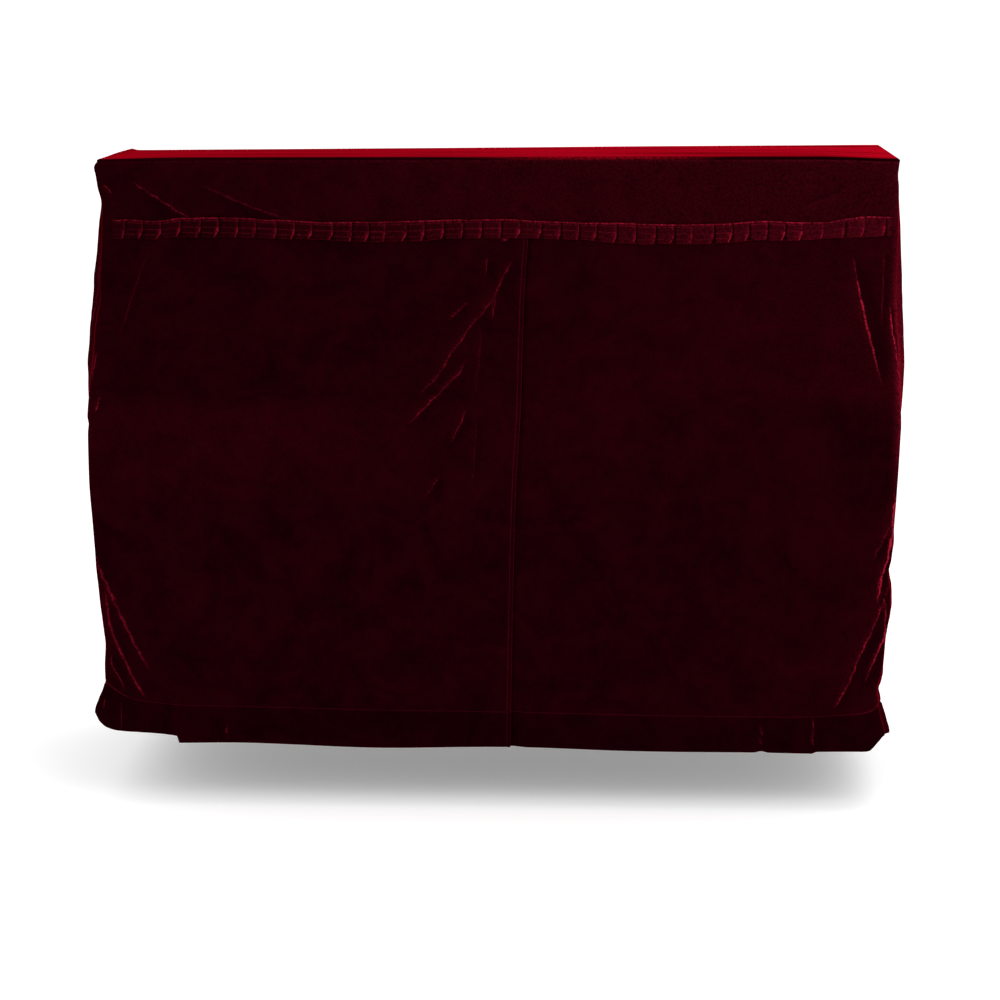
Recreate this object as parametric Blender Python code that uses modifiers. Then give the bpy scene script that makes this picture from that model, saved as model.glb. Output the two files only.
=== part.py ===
"""A fitted velvet cover for an upright piano, hanging as it does over the closed instrument.

Frame: metres, +X to the right as seen from the front, -Y to the front, +Z up.
Origin: the middle of the top panel's underside, where the cover lies on the piano's lid.

The cover is hollow and open below. Every piece is one sheet of cloth: an open surface that is
thickened towards the piano. The front slopes out from the band of pleats to the front edge of the
keyboard and hangs straight from there. Seams leave a hair's breadth between the pieces.
"""
import math
from collections import namedtuple

import bmesh
import bpy

# ------------------------------------------------------------------ driving sizes
CLOTH = 0.0020          # thickness of the velvet with its pile
SEAM = 0.0004           # room left between two pieces that are sewn together
HALF_DEPTH = 0.190      # from the middle of the lid to its front and back edges
BAND_HEAD = 0.101       # above this depth the front is free of the band
YOKE_DROP = 0.129       # bottom edge of the yoke, behind the band
BAND_FOOT = 0.154       # below this depth the front is free of the band again
KNEE_DROP = 0.500       # below this depth the cloth hangs straight
HEM_LINE = 0.992        # depth of the stitches that hold the hem
HEM_DROP = 1.066        # the hem's nominal depth, to which the rows are spaced
HEM_DIP = 0.0022        # the stitches draw the cloth in this far
HEM_BODY = 0.0012       # the doubled cloth below them stands out this far
HEM_EASE = 0.010        # over this depth on either side of them

# ------------------------------------------------------------------ the front's shape
# drop: depth below the lid. reach: how far the front stands out from the cover's middle plane.
# left, right: how far the two front corners are from the middle.
Row = namedtuple("Row", "drop reach left right")
FRONT_ROWS = [
    Row(0.000, 0.1900, 0.745, 0.748),
    Row(0.016, 0.1920, 0.749, 0.746),
    Row(0.045, 0.1935, 0.743, 0.747),
    Row(0.078, 0.1955, 0.736, 0.746),
    Row(BAND_HEAD, 0.1975, 0.737, 0.745),
    Row(YOKE_DROP, 0.2000, 0.738, 0.743),
    Row(BAND_FOOT, 0.2060, 0.738, 0.741),
    Row(0.180, 0.2160, 0.737, 0.739),
    Row(0.220, 0.2380, 0.735, 0.735),
    Row(0.260, 0.2650, 0.732, 0.732),
    Row(0.300, 0.2930, 0.736, 0.732),
    Row(0.345, 0.3270, 0.738, 0.735),
    Row(0.390, 0.3640, 0.737, 0.737),
    Row(0.430, 0.3960, 0.736, 0.737),
    Row(0.460, 0.4090, 0.730, 0.736),
    Row(KNEE_DROP, 0.4145, 0.734, 0.735),
    Row(0.560, 0.4170, 0.734, 0.733),
    Row(0.630, 0.4185, 0.730, 0.729),
    Row(0.700, 0.4195, 0.726, 0.723),
    Row(0.760, 0.4200, 0.724, 0.727),
    Row(0.820, 0.4205, 0.718, 0.725),
    Row(0.880, 0.4210, 0.714, 0.717),
    Row(0.940, 0.4215, 0.714, 0.710),
    Row(HEM_LINE - 0.012, 0.4220, 0.715, 0.706),
    Row(HEM_LINE, 0.4222, 0.717, 0.705),
    Row(HEM_LINE + HEM_EASE, 0.4225, 0.720, 0.709),
    Row(1.035, 0.4235, 0.729, 0.720),
    Row(HEM_DROP, 0.4250, 0.736, 0.730),
]

# The hem's lower edge across the front: it is lifted at the corners, and steps a little.
HemPoint = namedtuple("HemPoint", "x drop")
FRONT_HEM = [
    HemPoint(-0.735, 1.008), HemPoint(-0.727, 1.021), HemPoint(-0.708, 1.034),
    HemPoint(-0.660, 1.038), HemPoint(-0.596, 1.045), HemPoint(-0.580, 1.060),
    HemPoint(-0.450, 1.058), HemPoint(-0.200, 1.066), HemPoint(0.030, 1.062),
    HemPoint(0.250, 1.068), HemPoint(0.455, 1.069), HemPoint(0.590, 1.069),
    HemPoint(0.687, 1.065), HemPoint(0.706, 1.056), HemPoint(0.731, 1.026),
]

# Where the front edge of the left curtain lies, and the hidden edge of the right one under it.
Opening = namedtuple("Opening", "drop left_edge right_edge")
OPENING = [
    Opening(0.129, 0.062, -0.012),
    Opening(0.180, 0.057, -0.015),
    Opening(0.320, 0.052, -0.022),
    Opening(0.583, 0.040, -0.036),
    Opening(HEM_DROP, 0.030, -0.050),
]
TUCK = 0.0036           # how far the right curtain sinks where the left one lies on it
TUCK_EASE = 0.030       # over this width it comes forward again, beside the left curtain's edge

# Soft ridges (lift > 0) and troughs (lift < 0) on the front, each along a straight line.
Fold = namedtuple("Fold", "x drop end_x end_drop width lift")
FRONT_FOLDS = [
    Fold(-0.692, 0.036, -0.585, 0.101, 0.012, 0.0035),
    Fold(-0.560, 0.043, -0.400, 0.106, 0.016, 0.0030),
    Fold(0.590, 0.084, 0.694, 0.028, 0.018, -0.0030),
    Fold(-0.646, 0.165, -0.693, 0.330, 0.018, 0.0060),
    Fold(0.663, 0.168, 0.706, 0.400, 0.018, 0.0080),
    Fold(0.038, 0.185, -0.128, 0.405, 0.018, 0.0060),
    Fold(-0.042, 0.350, -0.150, 0.462, 0.018, 0.0055),
    Fold(-0.052, 0.425, -0.118, 0.600, 0.022, 0.0040),
    Fold(-0.716, 0.680, -0.630, 0.950, 0.018, 0.0110),
    Fold(-0.690, 0.760, -0.600, 0.985, 0.022, -0.0060),
    Fold(-0.704, 0.830, -0.668, 0.980, 0.012, 0.0060),
    Fold(0.714, 0.720, 0.632, 0.985, 0.018, 0.0110),
    Fold(0.690, 0.730, 0.580, 0.960, 0.024, -0.0060),
    Fold(0.704, 0.800, 0.684, 0.960, 0.012, 0.0070),
]
FOLD_FADE = 0.022       # folds fade out over this distance from a seam
ROW_STEP = 0.020        # the slope at a row is measured over about this depth

# ------------------------------------------------------------------ the top's shape
# Height of the top panel's underside at its front and back edges: the ends sag a little.
LidPoint = namedtuple("LidPoint", "x front back")
LID = [
    LidPoint(-0.745, -0.0035, -0.0060),
    LidPoint(-0.600, -0.0010, -0.0035),
    LidPoint(-0.300, 0.0, -0.0010),
    LidPoint(0.000, 0.0, 0.0),
    LidPoint(0.300, 0.0, 0.0010),
    LidPoint(0.600, -0.0010, 0.0015),
    LidPoint(0.748, -0.0035, 0.0010),
]

# ------------------------------------------------------------------ the sides' and back's shape
# bulge: how far a side swells out behind its front seam. hollow: how far its middle sinks in.
SideRow = namedtuple("SideRow", "drop bulge hollow back")
SIDE_ROWS = [
    SideRow(0.000, 0.000, 0.000, 0.746),
    SideRow(0.045, 0.003, 0.001, 0.745),
    SideRow(0.129, 0.013, 0.002, 0.744),
    SideRow(0.180, 0.020, 0.003, 0.743),
    SideRow(0.220, 0.024, 0.004, 0.743),
    SideRow(0.300, 0.026, 0.005, 0.742),
    SideRow(0.345, 0.022, 0.004, 0.742),
    SideRow(0.390, 0.013, 0.003, 0.742),
    SideRow(0.430, 0.004, 0.003, 0.742),
    SideRow(0.460, 0.002, 0.003, 0.742),
    SideRow(0.700, 0.004, 0.004, 0.740),
    SideRow(HEM_LINE, 0.004, 0.004, 0.738),
    SideRow(HEM_DROP, 0.008, 0.000, 0.740),
]
BULGE_DEPTH = 0.032     # the swelling reaches its full height this far behind the front seam
BULGE_END = 0.33        # and it fades out over this share of the side next to the back seam
HEM_RISE_END = 0.5      # the side's hem reaches its full depth at this share of its way to the back
SIDE_FOLDS = [          # here x is the distance in front of the middle plane
    Fold(0.350, 0.600, 0.290, 1.000, 0.030, 0.0090),
    Fold(0.310, 0.560, 0.120, 0.920, 0.035, 0.0090),
    Fold(0.200, 0.200, 0.320, 0.420, 0.030, -0.0060),
    Fold(-0.020, 0.620, -0.030, 1.040, 0.040, 0.0080),
]
SIDE_HEM_BACK = 1.060   # depth of the side's hem at the back seam
BACK_REACH = 0.190      # the back hangs this far behind the middle plane
BACK_WAVES = 5          # soft waves across the back, which grow towards the hem
BACK_WAVE_LIFT = 0.007
BACK_WAVE_END = 0.12    # the waves fade out over this share of the width next to a side

# ------------------------------------------------------------------ the pleated band
# The band's upper and lower edges across the front.
BandPoint = namedtuple("BandPoint", "x top bottom")
BAND = [
    BandPoint(-0.722, 0.109, 0.145), BandPoint(-0.630, 0.112, 0.144),
    BandPoint(-0.582, 0.105, 0.140), BandPoint(-0.450, 0.107, 0.143),
    BandPoint(-0.307, 0.113, 0.147), BandPoint(-0.200, 0.113, 0.150),
    BandPoint(-0.095, 0.110, 0.143), BandPoint(0.010, 0.107, 0.142),
    BandPoint(0.160, 0.113, 0.145), BandPoint(0.265, 0.116, 0.152),
    BandPoint(0.435, 0.116, 0.151), BandPoint(0.502, 0.110, 0.146),
    BandPoint(0.602, 0.114, 0.143), BandPoint(0.648, 0.106, 0.141),
    BandPoint(0.734, 0.103, 0.137),
]
PLEATS = 41
PLEAT_LIFT = 0.0035     # how far the fold of a pleat stands out over the next one
PLEAT_RAMP = 0.90       # share of a pleat's width that rises to its fold
BAND_CLOTH = 0.0014     # the band is a lighter cut of the same velvet
BAND_GAP = 0.0006       # from the yoke and the curtains behind it
PLEAT_SHIFT = 0.12      # unevenness of the pleats, as a share of their width

# ------------------------------------------------------------------ grid lines
YOKE_COLUMNS = [0, 0.02, 0.05, 0.08, 0.12, 0.16, 0.20, 0.25, 0.33, 0.42, 0.50,
                0.58, 0.67, 0.76, 0.84, 0.89, 0.93, 0.965, 0.985, 1]
CORNER_COLUMNS = [0, 0.013, 0.028, 0.044, 0.062, 0.082, 0.104, 0.13, 0.165, 0.21, 0.28,
                  0.37, 0.47, 0.58, 0.67, 0.74, 0.80, 0.85, 0.89, 0.93, 0.965, 1]
TUCKED_COLUMNS = [0, 0.05, 0.10, 0.125, 0.15, 0.20, 0.29, 0.40, 0.51, 0.61, 0.70, 0.77,
                  0.82, 0.857, 0.886, 0.909, 0.929, 0.948, 0.964, 0.978, 0.99, 1]
SIDE_COLUMNS = [0, 0.035, 0.08, 0.14, 0.21, 0.29, 0.37, 0.46, 0.55, 0.65, 0.75, 0.85, 0.93, 1]
LID_COLUMNS = [step / 12 for step in range(13)]
BACK_COLUMNS = [step / 20 for step in range(21)]
BACK_ROWS = [0.0, 0.12, 0.26, 0.42, 0.58, 0.74, 0.88, 0.98, HEM_LINE, 1.002, 1.035, HEM_DROP]
TOP_ROWS = [0, 0.33, 0.67, 1]

COLLECTION_NAME = "piano_cover"
WINE = (0.13, 0.004, 0.02)
VELVET_ROUGHNESS = 0.85


def mix(start, end, share):
    return start + (end - start) * share


def between(rows, at, column):
    """Read a column of a table, straight between its rows; the first column is the place."""
    if at <= rows[0][0]:
        return getattr(rows[0], column)
    for low, high in zip(rows, rows[1:]):
        if at <= high[0]:
            share = (at - low[0]) / (high[0] - low[0])
            return mix(getattr(low, column), getattr(high, column), share)
    return getattr(rows[-1], column)


def ease(share):
    """0 to 1 with soft ends."""
    share = min(max(share, 0.0), 1.0)
    return share * share * (3.0 - 2.0 * share)


def fold_lift(folds, x, drop):
    """Sum of the ridges and troughs at a place on a panel."""
    lift = 0.0
    for fold in folds:
        run_x = fold.end_x - fold.x
        run_drop = fold.end_drop - fold.drop
        length = math.hypot(run_x, run_drop)
        along = ((x - fold.x) * run_x + (drop - fold.drop) * run_drop) / length
        across = ((x - fold.x) * run_drop - (drop - fold.drop) * run_x) / length
        beyond = max(-along, along - length, 0.0)
        lift += fold.lift * math.exp(-(across ** 2 + beyond ** 2) / fold.width ** 2)
    return lift


def hem_relief(drop):
    """How far the hem stands out: drawn in along its stitches and thicker below them."""
    away = abs(drop - HEM_LINE)
    dip = HEM_DIP * (1.0 - ease(away / HEM_EASE))
    return HEM_BODY * ease((drop - HEM_LINE) / HEM_EASE) - dip


# ------------------------------------------------------------------ the front
def hang_drop(drop, hem):
    """Depth of a row where the hem's edge is at depth hem: rows below the knee close up."""
    if drop <= KNEE_DROP:
        return drop
    return KNEE_DROP + (drop - KNEE_DROP) * (hem - KNEE_DROP) / (HEM_DROP - KNEE_DROP)


def front_reach(x, drop, folds):
    """How far the outside of the front stands out, with this share of its folds."""
    to_corner = min(x + between(FRONT_ROWS, drop, "left"), between(FRONT_ROWS, drop, "right") - x)
    to_seam = min(to_corner, max(BAND_HEAD - drop, drop - BAND_FOOT), drop)
    lift = folds * fold_lift(FRONT_FOLDS, x, drop) * ease(to_seam / FOLD_FADE)
    relief = hem_relief(drop) * ease(to_corner / FOLD_FADE)
    return between(FRONT_ROWS, drop, "reach") + lift + relief


def front_point(x, drop, tucked=0.0):
    """A point on the outside of the front; where it is tucked under, it lies deeper and has no folds."""
    height = -hang_drop(drop, between(FRONT_HEM, x, "drop"))
    return (x, tucked * TUCK - front_reach(x, drop, 1.0 - tucked), height)


def cloth_depth(drop):
    """Thickness of the front's cloth measured level, where it slopes the most near this row."""
    rises = []
    for shift in (-ROW_STEP, 0.0, ROW_STEP):
        upper = between(FRONT_ROWS, drop + shift - ROW_STEP / 2, "reach")
        lower = between(FRONT_ROWS, drop + shift + ROW_STEP / 2, "reach")
        rises.append((lower - upper) / ROW_STEP)
    return CLOTH * math.hypot(1.0, max(rises))


def lid_height(x, share_back):
    """Height of the top panel's underside; share_back is 0 at its front edge and 1 at its back."""
    return mix(between(LID, x, "front"), between(LID, x, "back"), share_back)


def below_lid(point, share_back):
    """Lower a point near the top so that it follows the lid's sag; the hem is left alone."""
    x, y, z = point
    near_top = 1.0 - ease(-z / YOKE_DROP)
    return (x, y, z + (lid_height(x, share_back) - SEAM) * near_top)


def yoke_point(column, row):
    x = mix(-between(FRONT_ROWS, row, "left"), between(FRONT_ROWS, row, "right"), column)
    return below_lid(front_point(x, row), 0.0)


def curtain_left_point(column, row):
    x = mix(-between(FRONT_ROWS, row, "left"), between(OPENING, row, "left_edge"), column)
    return front_point(x, row)


def curtain_right_point(column, row):
    edge = between(OPENING, row, "left_edge")
    x = mix(between(OPENING, row, "right_edge"), between(FRONT_ROWS, row, "right"), column)
    return front_point(x, row, tucked=1.0 - ease((x - edge - TUCK / 2) / TUCK_EASE))


# ------------------------------------------------------------------ the sides, back and top
def side_x(side, share, forward, row):
    """Distance of a side's outside from the middle; share is 0 at the front seam, 1 at the back."""
    corner = between(FRONT_ROWS, row, "left" if side < 0 else "right")
    straight = mix(corner, between(SIDE_ROWS, row, "back"), share)
    front_reach_here = between(FRONT_ROWS, row, "reach")
    swell = ease((front_reach_here - forward) / BULGE_DEPTH) * ease((1.0 - share) / BULGE_END)
    hollow = math.sin(math.pi * share) ** 2 * between(SIDE_ROWS, row, "hollow")
    to_seam = min(share, 1.0 - share) * (front_reach_here + BACK_REACH)
    folds = fold_lift(SIDE_FOLDS, forward, row) * ease(to_seam / FOLD_FADE)
    relief = hem_relief(row) * ease(to_seam / FOLD_FADE)
    return straight + swell * between(SIDE_ROWS, row, "bulge") - hollow + folds + relief


def side_point(side, share, row):
    """A point on a side, from its front seam (share 0) to its back seam (share 1)."""
    forward = between(FRONT_ROWS, row, "reach") - cloth_depth(row) - SEAM
    backward = BACK_REACH - CLOTH - SEAM
    y = mix(-forward, backward, share)
    x = side * side_x(side, share, -y, row)
    corner = side * between(FRONT_ROWS, row, "left" if side < 0 else "right")
    hem = mix(between(FRONT_HEM, corner, "drop"), SIDE_HEM_BACK, ease(share / HEM_RISE_END))
    return below_lid((x, y, -hang_drop(row, hem)), (y + HALF_DEPTH) / (2.0 * HALF_DEPTH))


def back_point(column, row):
    """A point on the back, from its left edge as seen from behind."""
    x = mix(between(SIDE_ROWS, row, "back"), -between(SIDE_ROWS, row, "back"), column)
    from_corner = ease(min(column, 1.0 - column) / BACK_WAVE_END)
    wave = BACK_WAVE_LIFT * ease(row / HEM_DROP) * math.sin(2.0 * math.pi * BACK_WAVES * column)
    return below_lid((x, BACK_REACH + (wave + hem_relief(row)) * from_corner, -row), 1.0)


def top_point(column, share_back):
    first = FRONT_ROWS[0]
    x = mix(-first.left, first.right, column)
    y = mix(-HALF_DEPTH, HALF_DEPTH, share_back)
    return (x, y, lid_height(x, share_back) + CLOTH)


# ------------------------------------------------------------------ the band
def pleat_columns():
    """Place and lift of each grid line of the band: the foot and the fold of every pleat."""
    left, right = BAND[0].x, BAND[-1].x
    pitch = (right - left) / PLEATS
    feet = []
    for pleat in range(PLEATS + 1):
        inner = 0 < pleat < PLEATS
        shift = PLEAT_SHIFT * math.sin(2.3 * pleat) if inner else 0.0
        feet.append(left + pitch * (pleat + shift))
    columns = []
    for foot, next_foot in zip(feet, feet[1:]):
        columns.append((foot, 0.0))
        columns.append((mix(foot, next_foot, PLEAT_RAMP), PLEAT_LIFT))
    columns.append((feet[-1], 0.0))
    return columns


def band_point(column, row):
    """A point on the outside of the band; row is 0 at its upper edge and 1 at its lower one."""
    x, lift = column
    drop = mix(between(BAND, x, "top"), between(BAND, x, "bottom"), row)
    upper = between(FRONT_ROWS, between(BAND, x, "top"), "reach")
    lower = between(FRONT_ROWS, between(BAND, x, "bottom"), "reach")
    reach = mix(upper, lower, row) + BAND_GAP + BAND_CLOTH + lift
    return (x, -reach, -drop)


# ------------------------------------------------------------------ building
def new_collection(name):
    collection = bpy.data.collections.new(name)
    bpy.context.scene.collection.children.link(collection)
    return collection


def velvet(name):
    """A plain velvet: dark wine red, dull and without metal."""
    material = bpy.data.materials.new(name)
    material.use_nodes = True
    shader = material.node_tree.nodes["Principled BSDF"]
    shader.inputs["Base Color"].default_value = (*WINE, 1.0)
    shader.inputs["Roughness"].default_value = VELVET_ROUGHNESS
    shader.inputs["Metallic"].default_value = 0.0
    return material


def sheet(name, columns, rows, point, thickness=CLOTH):
    """One piece of cloth: a grid laid through point(column, row), thickened towards the piano.

    Columns run to the right as seen from outside, and rows run down.
    """
    across = len(columns) - 1
    down = len(rows) - 1
    bm = bmesh.new()
    bmesh.ops.create_grid(bm, x_segments=across, y_segments=down, size=0.5)
    for vertex in bm.verts:
        column = round((vertex.co.x + 0.5) * across)
        row = down - round((vertex.co.y + 0.5) * down)
        vertex.co = point(columns[column], rows[row])
    mesh = bpy.data.meshes.new(name)
    bm.to_mesh(mesh)
    bm.free()
    mesh.materials.append(velvet("velvet_" + name))
    piece = bpy.data.objects.new(name, mesh)
    thicken = piece.modifiers.new("cloth", "SOLIDIFY")
    thicken.thickness = thickness
    thicken.offset = -1.0
    thicken.use_even_offset = True
    return piece


def front_rows(first, last):
    return [row.drop for row in FRONT_ROWS if first <= row.drop <= last]


def build_front():
    """The yoke and the two curtains."""
    curtain_rows = front_rows(YOKE_DROP, HEM_DROP)
    curtain_rows[0] += SEAM
    yoke_rows = front_rows(0.0, YOKE_DROP)
    return [
        sheet("front_yoke", YOKE_COLUMNS, yoke_rows, yoke_point),
        sheet("curtain_left", CORNER_COLUMNS, curtain_rows, curtain_left_point),
        sheet("curtain_right", TUCKED_COLUMNS, curtain_rows, curtain_right_point),
    ]


def build_band():
    return [sheet("pleated_band", pleat_columns(), [0.0, 1.0], band_point, BAND_CLOTH)]


def build_sides():
    """The two side panels; seen from outside, the left one runs from its back seam to its front."""
    rows = front_rows(0.0, HEM_DROP)
    backwards = SIDE_COLUMNS[::-1]

    def left_point(share, row):
        return side_point(-1.0, share, row)

    def right_point(share, row):
        return side_point(1.0, share, row)

    return [
        sheet("side_left", backwards, rows, left_point),
        sheet("side_right", SIDE_COLUMNS, rows, right_point),
    ]


def build_back():
    return [sheet("back_panel", BACK_COLUMNS, BACK_ROWS, back_point)]


def build_top():
    from_back = TOP_ROWS[::-1]
    return [sheet("top_panel", LID_COLUMNS, from_back, top_point)]


def build_cover():
    for leftover in list(bpy.data.objects):
        bpy.data.objects.remove(leftover)
    collection = new_collection(COLLECTION_NAME)
    for build in (build_top, build_front, build_band, build_sides, build_back):
        for piece in build():
            collection.objects.link(piece)


build_cover()
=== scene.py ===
"""The looks of a fitted velvet cover for an upright piano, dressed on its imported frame.

Every panel is its own piece of velvet, hung on the shape that the frame's solids have: a flat top,
a plain yoke, a shirred band of knife pleats, two front curtains that overlap near the middle, two
sides and a back. Metres, +X to the right from the front, -Y to the front, +Z up; the origin is the
middle of the top panel's underside.
"""
import math
from collections import namedtuple

import bmesh
import bpy
import numpy as np
from mathutils import Matrix, Vector


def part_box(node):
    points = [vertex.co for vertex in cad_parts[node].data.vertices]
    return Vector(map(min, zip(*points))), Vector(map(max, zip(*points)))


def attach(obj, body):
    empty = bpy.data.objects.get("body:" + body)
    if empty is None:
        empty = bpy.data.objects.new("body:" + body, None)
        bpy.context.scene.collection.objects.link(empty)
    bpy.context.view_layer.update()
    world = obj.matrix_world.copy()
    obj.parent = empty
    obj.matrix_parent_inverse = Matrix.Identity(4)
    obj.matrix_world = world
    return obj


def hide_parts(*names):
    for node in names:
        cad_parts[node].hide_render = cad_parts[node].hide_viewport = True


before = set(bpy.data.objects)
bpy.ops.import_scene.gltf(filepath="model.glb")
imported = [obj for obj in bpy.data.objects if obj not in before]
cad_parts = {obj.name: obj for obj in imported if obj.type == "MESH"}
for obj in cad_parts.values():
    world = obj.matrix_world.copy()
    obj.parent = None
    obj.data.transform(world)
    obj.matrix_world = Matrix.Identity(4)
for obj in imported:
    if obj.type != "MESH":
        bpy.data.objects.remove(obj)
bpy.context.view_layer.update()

# ---- sizes from the frame
YOKE_LOW, YOKE_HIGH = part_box("front_yoke")
LEFT_CORNER_X, RIGHT_CORNER_X = YOKE_LOW.x, YOKE_HIGH.x
HALF_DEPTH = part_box("top_panel")[1].y  # from the middle of the lid to its front and back edges
YOKE_DROP = -YOKE_LOW.z  # bottom edge of the yoke, behind the band
HEM_DROP = -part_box("back_panel")[0].z  # the hem's nominal depth, to which the rows are spaced
FLOOR_Z = -1.18  # the floor, under the piano's wheels

CLOTH = 0.002  # thickness of the velvet with its pile
SEAM = 0.0004  # room left between two pieces that are sewn together
EDGE_ROUND = 0.007  # radius of the cloth round the cover's vertical edges
CORNER_ARC = EDGE_ROUND * math.pi / 2.0
TOP_ROUND = 0.005  # and round the top's edges
TOP_CORNER = 0.0052  # radius of the top's corners
SEAM_DIP, SEAM_WIDTH = 0.0012, 0.003  # how far a seam draws the cloth in, and over what width
SEAM_ALLOWANCE = 0.008  # cloth turned inside at a seam on a vertical edge
SIDE_ALLOWANCE = 0.0105  # and at a side panel's,
SEAM_HOOK = 0.0032  # which is turned once more, behind its neighbour's
SEAM_IN_HEM = 0.06  # share of that cloth left where the hem is turned up,
SEAM_IN_HEM_EASE = 0.015  # from this far above its stitches on
BAND_FOOT = 0.154  # below this depth the front is free of the band
KNEE_DROP = 0.5  # below this depth the cloth hangs straight
HEM_LINE = 0.992  # depth of the stitches that hold the hem
HEM_DIP = 0.0018  # the stitches draw the cloth in this far
HEM_BODY = 0.001  # the doubled cloth below them stands out this far
HEM_EASE = 0.006  # over this depth on either side of them


# ---- tables, in thousandths
def table(columns, *rows):
    """A table of lengths in millimetres and shares in thousandths; its first column is the place."""
    return namedtuple("Table", columns)(*np.array(rows).T / 1000.0)


# A crease runs through its points, each (x, depth). lift: how high it stands, or how deep it sinks
# where that is negative. width: half its breadth. gleam: its painted highlight, partly parted pile.
# shaded: how much painted shade lies beside it: to the right of a crease that runs down, or to the
# left of it where this is negative. fade: share of its length over which it rises at each end.
Crease = namedtuple("Crease", "points width lift gleam shaded fade", defaults=[1.0, 0.28])


def creases(*rows):
    """Creases whose points, widths and lifts are in millimetres."""
    return [Crease(np.array(points) / (1000.0, -1000.0), width / 1000.0, lift / 1000.0, *rest)
            for points, width, lift, *rest in rows]


# ---- the front's shape
# reach: how far the front stands out from the cover's middle plane, down its length.
FRONT = table(
    "drop reach",
    (3, 190), (16, 192), (45, 193.5), (78, 195.5), (101, 197.5), (129, 200), (154, 206), (180, 216),
    (220, 238), (260, 265), (300, 293), (345, 327), (390, 364), (430, 396), (446, 405), (460, 409.5),
    (500, 414.5), (560, 417), (630, 418.5), (760, 420), (880, 421), (992, 422.2), (1035, 423.5),
    (1070, 425),
)
# out: how far the front's corner seam is from the middle, on either side.
LEFT_CORNER = table(
    "drop out",
    (3, 746.6), (7, 749.6), (14, 752.3), (28, 749.5), (51, 746.1), (73, 740.1), (85, 738), (118, 739.3),
    (165, 739.7), (210, 739.4), (253, 735.9), (279, 738.3), (305, 739.7), (347, 738.3), (387, 738.3),
    (430, 737.5), (450, 737.1), (463, 734.6), (480, 736.1), (558, 735.9), (647, 731.4), (736, 726.3),
    (804, 720.9), (827, 718.4), (845, 716.8), (860, 715.2), (872, 714.2), (918, 716.9), (941, 716.7),
    (958, 720.6), (975, 728.2), (1003, 736.6),
)
RIGHT_CORNER = table(
    "drop out",
    (0, 750.4), (13, 748.8), (28, 747.4), (50, 749.1), (72, 748.7), (116, 749.5), (159, 748.5),
    (230, 743.6), (276, 741.6), (351, 742.6), (416, 740.9), (456, 741.1), (485, 739.8), (550, 737.1),
    (594, 734.8), (638, 732), (682, 730.7), (708, 728.1), (732, 723.3), (743, 724.7), (757, 727.7),
    (794, 729), (816, 726.7), (861, 720.6), (901, 717.9), (923, 714.8), (938, 710), (953, 708.2),
    (965, 710.8), (985, 712.5), (1013, 718.8), (1032, 723.4),
)
# The front hem's stitches and lower edge: it is lifted at the corners, and steps a little.
FRONT_HEM = table(
    "x stitch edge",
    (-740, 945, 1005), (-727, 945.5, 1021.2), (-716, 947, 1031), (-698, 959, 1036.8), (-676, 972.5, 1039),
    (-654, 980, 1040), (-584.5, 988.2, 1046.5), (-580, 988.6, 1060), (-475, 990, 1058.5), (-200, 995, 1066),
    (30, 997, 1062), (250, 1000, 1068), (485, 1002, 1069.5), (497, 1002, 1066.5), (512, 1002, 1069.5),
    (590, 1001, 1070), (600, 1000.5, 1066.5), (672, 995, 1065.5), (686, 992.5, 1065.5), (696, 989, 1064),
    (701.5, 986.5, 1059.5), (712, 979.7, 1046.5), (723.5, 979, 1035.5),
)
# Where the front edge of the left curtain lies, and the hidden edge of the right one under it.
OPENING = table(
    "drop left right",
    (129, 62.2, -12), (182, 59.2, -15), (250, 56, -19), (320, 55.1, -22), (386, 54.6, -26),
    (442, 54.1, -29), (470, 52.5, -30), (583, 46, -36), (800, 40, -43), (1070, 36, -50),
)
TUCK = 0.005  # how far the right curtain sinks where the left one lies on it
TUCK_EASE = 0.03  # over this width it comes forward again, beside the left one's edge
EDGE_HEM = 0.0052  # width of the narrow hem down the left curtain's free edge

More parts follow.
